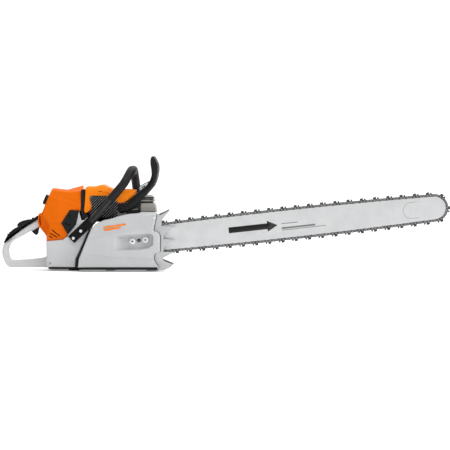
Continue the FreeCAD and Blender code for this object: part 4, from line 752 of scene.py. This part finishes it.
slab("grip_bridge", [(-243, 158), (-231, 167), (-226.6, 169.5), (-226.6, 160.2),
                     (-240, 151.6)],
     [(-10.5, 0.4), (-10, 0), (10, 0), (10.5, 0.4)], BLACK, GRIP_AT, bevel=0.8)
for number in range(7):
    at = Vector((-322 + number * 6.1, 0, 111.2 + number * 5.4 - 0.22 * number ** 2))
    slab(f"grip_rib_{number + 1}",
         [(at.x - 1.0, at.z - 6), (at.x + 1.0, at.z - 5), (at.x - 1.2, at.z + 2.9),
          (at.x - 2.6, at.z + 2.0)],
         [(-12.5, 0.6), (-11.5, 0), (11.5, 0), (12.5, 0.6)], BLACK, GRIP_AT, bevel=0.5)

# ------------------------------------------------------------------ clutch cover

COVER_AT = shift("clutch_cover", (-96, -115, 14))
COVER_BACK = [(14, -96), (40, -93), (112, -64), (130, -56), (146, -43), (158, -19), (164, 9),
              (169, 22), (174.5, 44), (178, 60), (180, 93)]
COVER_FRONT = [(14, 153), (15.5, 151.5), (28, 142.6), (37, 138.2), (50, 138.2), (57.4, 142.6),
               (59, 152), (62, 156.4), (108, 156.4), (116, 154.6), (121.5, 150), (124, 139.8),
               (129, 136.7), (146, 139.7), (164, 144), (180, 146)]
cover_edge = ([(x, z) for z, x in COVER_BACK] + [(x, z) for z, x in reversed(COVER_FRONT)]
              + [(-96, 14)])


def cover_depth(x, z):
    """How far the face of the clutch cover lies inside its outermost plane."""
    upper = 158 + (x + 20) * 0.118
    lower = 104.5 + (x + 25) * 0.232
    deep = 0.0
    if z > lower:
        deep = 3.4 * rise((z - lower) / 6.0) + (z - lower) * 0.05
    if z > upper:
        deep += 0.42 * (z - upper) + 0.6
    ridge = along([(-90, 56), (-20, 57.5), (30, 63.5), (140, 69)], x)
    foot = along([(-96, 56), (-60, 54.5), (0, 48.5), (140, 45)], x)
    start = rise((x + 92) / 60.0)
    if z < ridge:
        deep += -2.4 * start * rise((ridge - z) / 4.0)
    if z < foot:
        deep += 4.6 * start * rise((foot - z) / 3.0) - max(0.0, foot - z) * 0.05
    reach = edge_distance(x, z, cover_edge)
    if reach < 6:
        deep += 6.0 * (1 - math.sqrt(max(0.0, 1 - (1 - reach / 6.0) ** 2)))
    if x > 92:
        groove = abs(reach - 9.0)
        if groove < 1.3 and 20 < z < 172:
            deep += 0.7 * (1 - groove / 1.3)
    # the nut recess: a ramp that deepens forward to the flat seat of the nuts
    roof = 109.0 + (x - 20) * 0.066
    base = along([(20, 67), (93, 68.6), (121, 73.5), (134, 84)], x)
    end = 134.5 - max(0.0, abs(z - 95) - 12) ** 2 * 0.075
    if 12 < x < end + 4 and base - 4 < z < roof + 4:
        floor = 19.5 * rise((x - 12) / 40.0)
        wall = min((roof + 2 - z) / 3.0, (z - base + 2) / 4.0, (end + 2 - x) / 4.0)
        deep = max(deep, floor * rise(wall))
    return max(0.0, deep)


cover = relief("clutch_cover_shell", COVER_BACK, COVER_FRONT,
               steps_of([14, 15.5, 28, 37, 50, 57.4, 59, 62, 108, 116, 121.5, 124, 129, 146,
                         158, 164, 169, 180], 1.7),
               150, cover_depth, -115, -49, COVER_GREY, COVER_AT, flip=True, weighted=False,
               stands_for=("clutch_cover",))
for number, (x, z) in enumerate(((137.6, 166), (137, 32))):
    slab(f"cover_rivet_{number + 1}", strip((x - 0.1, z), (x + 0.1, z), 3.2, 8),
         [(-113.4, 1.2), (-112.6, 0.3), (-108, 0)], PLATED, COVER_AT, weighted=False)
nut_low, nut_high = [Vector(c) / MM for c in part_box("bar_nuts")]
NUT_RADIUS = 12.0
STUDS = ((nut_low.x + NUT_RADIUS, nut_low.z + NUT_RADIUS),
         (nut_high.x - NUT_RADIUS, nut_high.z - NUT_RADIUS))
for number, (x, z) in enumerate(STUDS):
    slab(f"nut_flange_{number + 1}", disc(x, z, 10.6, 28),
         [(-101.2, 2.4), (-99.6, 0.5), (-98.4, 0), (-97.1, 0)], NUT, HERE, weighted=False)
    slab(f"nut_body_{number + 1}", disc(x, z, 9.3, 6, 0.3),
         [(-109, 1.6), (-107.8, 0), (-99.5, 0)], NUT, HERE, bevel=0.5,
         stands_for=("bar_nuts",) if number == 0 else ())
    slab(f"stud_socket_{number + 1}", disc(x, z, 3.0, 6),
         [(-111.12, 0.4), (-111.02, 0), (-109.5, 0)], BLACK_FIN_AND_SHADE, HERE, weighted=False)
screw_low, screw_high = [Vector(c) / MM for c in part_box("tensioner_screw")]
screw_at = ((screw_low.x + screw_high.x) / 2, (screw_low.z + screw_high.z) / 2)
slab("adjuster_collar", disc(*screw_at, 5.3, 20),
     [(-100.2, 0.8), (-99.7, 0), (-97.2, 0)], BLACK, HERE, weighted=False, body="adjuster")
slab("adjuster_slot", strip((screw_at[0] - 3, screw_at[1]), (screw_at[0] + 3, screw_at[1]),
                            0.5),
     [(-100.35, 0), (-100.0, 0)], STEEL, HERE, weighted=False, body="adjuster")
# plain orange trim stripes on the cover
for number, (a, b, half) in enumerate((((-14, 136.6), (50, 146.2), 2.3),
                                       ((-14, 128.6), (34, 135.8), 2.3))):
    slab(f"trim_stripe_{number + 1}", strip(a, b, half),
         [(-112.6, 0.3), (-112.3, 0), (-109, 0)], ORANGE_LIT, COVER_AT, weighted=False)
# A black slab under the cover's bottom edge: painted shadow beneath the cover.
slab("cover_base_painted_shadow", [(-93, 6), (148, 6), (147, 15), (-92, 15)],
     [(-106, 1), (-104, 0), (-48, 0)], RUBBER_AND_PAINTED_SHADOW, COVER_AT, bevel=1.0)
# painted shade: a black strip in the gap between the cover's front edge and the spike plate, and
# black strips on the spike edges that lie in shade
front_line = [(x, z) for z, x in COVER_FRONT]
gap = [(x - 0.6, z) for x, z in front_line] + [(x + 1.9, z) for x, z in reversed(front_line)]
slab("cover_gap_painted_shade", gap, [(-94.2, 0), (-93.0, 0)], BLACK_FIN_AND_SHADE, COVER_AT, weighted=False)
SPIKE_AT = shift("outer_spikes", (129, -93, 3.5))
for number, edge in enumerate(([(153, 177.4), (184.6, 192), (182.8, 188.4), (155, 174)],
                               [(165, 38.6), (198.8, 24.0), (190, 24.6), (169, 33.4)])):
    slab(f"spike_edge_painted_shade_{number + 1}", edge, [(-93.5, 0.3), (-92.9, 0)], BLACK_FIN_AND_SHADE, SPIKE_AT,
         weighted=False)

# ------------------------------------------------------------------ hand guard

GUARD_AT = shift("hand_guard", (23, -66, 179.6))
guard_arm = [(27, 204.6), (38, 209.6), (50, 211), (60.5, 220), (72, 231.5), (85.5, 244),
             (102, 256), (114.5, 266.5), (123.6, 281), (129.6, 303), (127.6, 318),
             (125.3, 332), (125.6, 345), (128, 353), (133, 356.4), (139, 351), (144.2, 341),
             (148.4, 331), (149.9, 317), (148.4, 300), (144, 281), (136, 263.4), (121, 245.2),
             (107.5, 230), (93.5, 214.8), (78, 197.4), (62, 187), (45, 180.6), (30, 179.8),
             (23.6, 190)]
guard_weight = [1, 1, 1, 1.1, 1.2, 1.3, 1.5, 1.6, 1.5, 1.2, 1.0, 0.9, 0.8, 0.9, 1.0, 0.9,
                0.8, 0.7, 0.7, 0.8, 0.9, 1.0, 1, 1, 1, 1, 1, 1, 1, 1]


def doubled(values):
    """Weights for a loop smoothed in two steps."""
    count = len(values)
    found = []
    for i in range(count):
        found += [values[i], (values[i] + values[(i + 1) % count]) / 2]
    return found


for side, tag in ((-1, "right"), (1, "left")):
    slab(f"guard_arm_{tag}", smooth_loop(guard_arm, 2),
         [(-side * y, d) for y, d in ((-66, 5.2), (-64.6, 3.0), (-61.5, 1.0), (-58.5, 0.1),
                                      (-55.6, 0.4), (-54, 1.6))],
         BLACK, GUARD_AT, weights=doubled(guard_weight), weighted=False, body="guard",
         stands_for=("hand_guard",) if side < 0 else ())
shield = [(124, 283), (130.6, 303), (128.8, 318), (126.6, 332), (126.6, 344), (128.6, 351.5),
          (132.8, 355.2), (138, 350), (143.4, 340), (147.4, 330), (148.9, 317),
          (147.4, 300), (143, 282), (136, 267), (124, 262)]
slab("guard_shield", smooth_loop(shield, 3),
     [(-56, 0.5), (-40, 1.2), (-20, 1.8), (0, 2.0), (20, 1.8), (40, 1.2), (56, 0.5)], BLACK,
     GUARD_AT, weighted=False, body="guard")
for number in range(9):
    y = -44 + number * 11
    slab(f"guard_rib_{number + 1}",
         [(128.5, 300), (131.5, 300), (131.5, 318), (129, 334), (127.5, 334), (127.4, 318)],
         [(y - 1.3, 0.5), (y - 0.8, 0), (y + 0.8, 0), (y + 1.3, 0.5)], BLACK, GUARD_AT,
         bevel=0.4, body="guard")
for side, tag in ((-1, "right"), (1, "left")):
    slab(f"guard_label_seat_{tag}", [(91, 263), (112.5, 274.6), (121, 279),
                                     (118, 262), (95.5, 242.4), (90, 245)],
         [(side * 54.4, 1.6), (side * 53.6, 0.4), (side * 50.6, 0), (side * 50, 0.6)], BLACK,
         GUARD_AT, bevel=0.6, body="guard")
# A light grey plate on the guard's black inner face: painted highlight from the light above; the
# black sign on it is print.
slab("guard_painted_highlight_plate", [(92.4, 261.6), (112.5, 272.6), (119, 275.4), (116.6, 263.4),
                           (95.8, 244.6), (91.6, 247)],
     [(-54.9, 0.8), (-54.3, 0)], GUARD_PAINTED_HIGHLIGHT, GUARD_AT, weighted=False, body="guard")
slab("guard_label_sign", [(97, 259), (104.5, 263.2), (103.8, 266), (110, 263.6), (106.6, 258.2),
                          (105.9, 260.6), (98.5, 256.4)],
     [(-55.2, 0.2), (-54.8, 0)], MARK_BLACK, GUARD_AT, weighted=False, body="guard")
for side, tag in ((-1, "right"), (1, "left")):
    slab(f"guard_pivot_cap_{tag}", strip((36.9, 192), (37.1, 192), 8.6, 10),
         [(side * 65.0, 0), (side * 67.4, 0), (side * 72.0, 1.0), (side * 73.2, 3.0)], BLACK,
         GUARD_AT, weighted=False, body="guard")

# ------------------------------------------------------------------ muffler

MUFFLER_AT = shift("muffler", (60, -46, 181))
slab("muffler_body", [(60, 183), (64, 181), (143.5, 181), (144, 184), (141, 200),
                      (138, 208.5), (134, 210.5), (60, 210.5)],
     [(-46, 4), (-45, 1.6), (-42, 0), (42, 0), (45, 1.6), (46, 4)], EXHAUST, MUFFLER_AT,
     bevel=1.2, stands_for=("muffler",))
# Black neck between the muffler body and its hood: painted shade in the gap between them.
slab("muffler_throat_painted_shade", [(64, 208), (132, 208), (130, 216), (64, 216)],
     [(-39, 0.5), (-38, 0), (38, 0), (39, 0.5)], BLACK_FIN_AND_SHADE, MUFFLER_AT, bevel=1.0)
slab("muffler_hood", [(70, 214.5), (136.5, 214.5), (138.5, 217), (134, 229), (128, 234.3),
                      (78, 234.3), (70, 229)],
     [(-44.5, 6), (-43, 3), (-39, 0.4), (39, 0.4), (43, 3), (44.5, 6)], EXHAUST, MUFFLER_AT,
     bevel=1.4)
# Black strips in the hood's louvres: painted shade in the openings.
for number, (x0, x1, z) in enumerate(((96, 131, 222.0), (92, 134, 226.5))):
    slab(f"muffler_louvre_painted_shade_{number + 1}", strip((x0, z), (x1, z + 0.6), 1.9),
         [(-45.4, 0.8), (-44.4, 0), (-40, 0)], BLACK_FIN_AND_SHADE, MUFFLER_AT, weighted=False)
slab("muffler_seam", [(60.5, 195.5), (141.5, 195.5), (141.0, 198), (60.5, 198)],
     [(-46.6, 0.8), (-46, 0.2), (46, 0.2), (46.6, 0.8)], EXHAUST, MUFFLER_AT, bevel=0.6)
slab("muffler_strap", [(91.5, 181), (95, 181), (95, 210), (91.5, 210)],
     [(-47, 0.5), (-46.4, 0), (-44, 0)], BLACK_FIN_AND_SHADE, MUFFLER_AT, bevel=0.4)
slab("heat_guard", [(52, 176), (93, 181), (93, 212), (84, 222), (62, 214), (52, 200)],
     [(-49.5, 2), (-48.5, 0.3), (-47, 0)], BLACK_PAINT, MUFFLER_AT, bevel=0.8)
slab("heat_guard_clip", [(56, 187.6), (86, 190.6), (86, 193.4), (56, 190.4)],
     [(-51.2, 0.8), (-50.6, 0), (-48.6, 0)], EXHAUST, MUFFLER_AT, bevel=0.5)

# ------------------------------------------------------------------ bar details

BAR_BOX = [Vector(c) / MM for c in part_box("guide_bar")]
NOSE_BOX = [Vector(c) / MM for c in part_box("nose_sprocket")]
NOSE = (NOSE_BOX[0] + NOSE_BOX[1]) / 2
LONG = Vector((math.cos(TILT), 0, math.sin(TILT)))
TALL = Vector((-math.sin(TILT), 0, math.cos(TILT)))


def bar_spot(back, up):
    """Point on the bar: distance behind the nose centre and height above its axis (mm)."""
    p = NOSE - LONG * back + TALL * up
    return (p.x, p.z)


def ribbon(name, line, half, face, look, body="bar"):
    """Thin flat ribbon laid on the bar face along a line of (back, up) points."""
    left, right = [], []
    for i, here in enumerate(line):
        a = Vector(line[max(i - 1, 0)])
        b = Vector(line[min(i + 1, len(line) - 1)])
        way = (b - a).normalized()
        side = Vector((-way.y, way.x)) * half
        left.append((here[0] + side.x, here[1] + side.y))
        right.append((here[0] - side.x, here[1] - side.y))
    loop = [bar_spot(*p) for p in left + right[::-1]]
    slab(name, loop, [(face - 0.08, 0), (face + 0.2, 0)], look, HERE, weighted=False, body=body)


for face, tag in ((BAR_BOX[0].y, "right"), (BAR_BOX[1].y - 0.1, "left")):
    u_line = ([(52, 25)] + [(74 + 23 * math.sin(math.pi * k / 24),
                             24.5 * math.cos(math.pi * k / 24)) for k in range(25)]
              + [(50, -24.8)])
    ribbon(f"nose_insert_line_{tag}", u_line, 0.55, face, MARK_GREY)
    for number, (back, up) in enumerate(((70, 15), (70, -15), (88, 0))):
        loop = [bar_spot(*p) for p in disc(back, up, 3.2, 16)]
        slab(f"nose_rivet_{tag}_{number + 1}", loop, [(face - 0.12, 0.5), (face + 0.2, 0)],
             STEEL, HERE, weighted=False, body="bar")
# generic printed markings: a chain direction arrow and fine rules
mark = BAR_BOX[0].y
arrow = [(640, 9), (520, 9), (520, 17), (488, 0), (520, -17), (520, -9), (640, -9)]
slab("bar_arrow", [bar_spot(*p) for p in arrow], [(mark - 0.08, 0), (mark + 0.2, 0)],
     MARK_BLACK, HERE, weighted=False, body="bar")
for number, (back0, back1, up, half) in enumerate(((476, 425, 3.0, 1.2), (476, 372, -11.0, 2.6),
                                                   (476, 340, -17.0, 1.0))):
    ribbon(f"bar_rule_{number + 1}", [(back0, up), ((back0 + back1) / 2, up), (back1, up)],
           half, mark, MARK_GREY)

# ------------------------------------------------------------------ starter rope

ROPE = rubber("braided_rope", (0.045, 0.045, 0.047), 0.8)
ROPE_RADIUS = 1.9
EXIT_DEPTH = 12
STRETCH_STEPS = 60
pull_low, pull_high = [Vector(c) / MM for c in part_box("starter_grip")]
rope_top = Vector(((pull_low.x + pull_high.x) / 2, (pull_low.y + pull_high.y) / 2, pull_low.z))
rope_exit = rope_top - Vector((0, 0, EXIT_DEPTH))
rope_line = ([rope_top.z - 30]
             + [rope_exit.z + EXIT_DEPTH * k / STRETCH_STEPS for k in range(STRETCH_STEPS + 1)]
             + [rope_top.z + 6])
rope_round = disc(rope_top.x, rope_top.y, ROPE_RADIUS, 10)
rope = lofted("pull_rope", [[(x, y, z) for x, y in rope_round] for z in rope_line], ROPE, HERE,
              body=None, weighted=False)
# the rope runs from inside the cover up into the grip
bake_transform(rope)

# ------------------------------------------------------------------ stage

floor_mesh = bpy.data.meshes.new("floor")
floor_mesh.from_pydata([(-40, -40, 0), (40, -40, 0), (40, 40, 0), (-40, 40, 0)], [],
                       [(0, 1, 2, 3)])
floor = bpy.data.objects.new("floor", floor_mesh)
bpy.context.scene.collection.objects.link(floor)
ground = Nodes("pale_floor")
ground.put(ground.bsdf, "Base Color", ground.mix(ground.noise(2.0, 2.0), (0.93, 0.93, 0.93),
                                                 (0.95, 0.95, 0.95)))
ground.put(ground.bsdf, "Roughness", 0.9)
ground.put(ground.bsdf, "Emission Color", (1, 1, 1, 1))
ground.put(ground.bsdf, "Emission Strength", 0.2)
ground.put(ground.bsdf, "Specular IOR Level", 0.1)
floor_mesh.materials.append(ground.mat)

world = bpy.data.worlds.new("studio")
bpy.context.scene.world = world
world.use_nodes = True
sky = world.node_tree
way = sky.nodes.new("ShaderNodeTexCoord")
parts = sky.nodes.new("ShaderNodeSeparateXYZ")
sky.links.new(way.outputs["Generated"], parts.inputs[0])


def fade(axis, low, high, to_low, to_high):
    """Smooth brightness ramp of the studio along one axis of the view direction."""
    node = sky.nodes.new("ShaderNodeMapRange")
    node.interpolation_type = "SMOOTHSTEP"
    sky.links.new(parts.outputs[axis], node.inputs["Value"])
    for socket, value in (("From Min", low), ("From Max", high), ("To Min", to_low),
                          ("To Max", to_high)):
        node.inputs[socket].default_value = value
    return node.outputs[0]


def added(a, b):
    """Sum of two brightness values."""
    node = sky.nodes.new("ShaderNodeMath")
    sky.links.new(a, node.inputs[0])
    sky.links.new(b, node.inputs[1])
    return node.outputs[0]


backdrop = fade("Y", -0.9, 0.75, 0.34, 1.08)
ceiling = fade("Z", 0.25, 0.85, 0.0, 0.75)
rear_shade = fade("X", -0.95, -0.1, -0.6, 0.0)
sky.links.new(added(added(backdrop, ceiling), rear_shade),
              sky.nodes["Background"].inputs["Strength"])
sky.nodes["Background"].inputs["Color"].default_value = (1, 1, 1, 1)


def area(name, place, target, width, height, power):
    """One rectangular soft light aimed at a point."""
    lamp = bpy.data.lights.new(name, "AREA")
    lamp.shape = "RECTANGLE"
    lamp.size = width
    lamp.size_y = height
    lamp.energy = power
    obj = bpy.data.objects.new(name, lamp)
    bpy.context.scene.collection.objects.link(obj)
    obj.location = place
    obj.rotation_euler = (Vector(target) - Vector(place)).to_track_quat("-Z", "Y").to_euler()
    return obj


area("key", (1.2, -1.5, 2.5), (0.1, 0, 0.1), 1.6, 1.0, 20)
area("rim", (1.2, 1.4, 2.6), (0.2, 0, 0.1), 1.8, 1.2, 16)

scene = bpy.context.scene
scene.view_settings.view_transform = "Standard"
scene.view_settings.exposure = 0.0

AIM = Vector((0.3565, -0.06, 0.1426))
DISTANCE = 6.0
ELEVATION = math.radians(2.0)
camera = bpy.data.cameras.new("camera")
camera.sensor_width = 36
camera.lens = 36 * DISTANCE / 1.395
eye = bpy.data.objects.new("camera", camera)
scene.collection.objects.link(eye)
eye.location = AIM + Vector((0, -DISTANCE * math.cos(ELEVATION),
                             DISTANCE * math.sin(ELEVATION)))
eye.rotation_euler = (AIM - eye.location).to_track_quat("-Z", "Y").to_euler()
scene.camera = eye
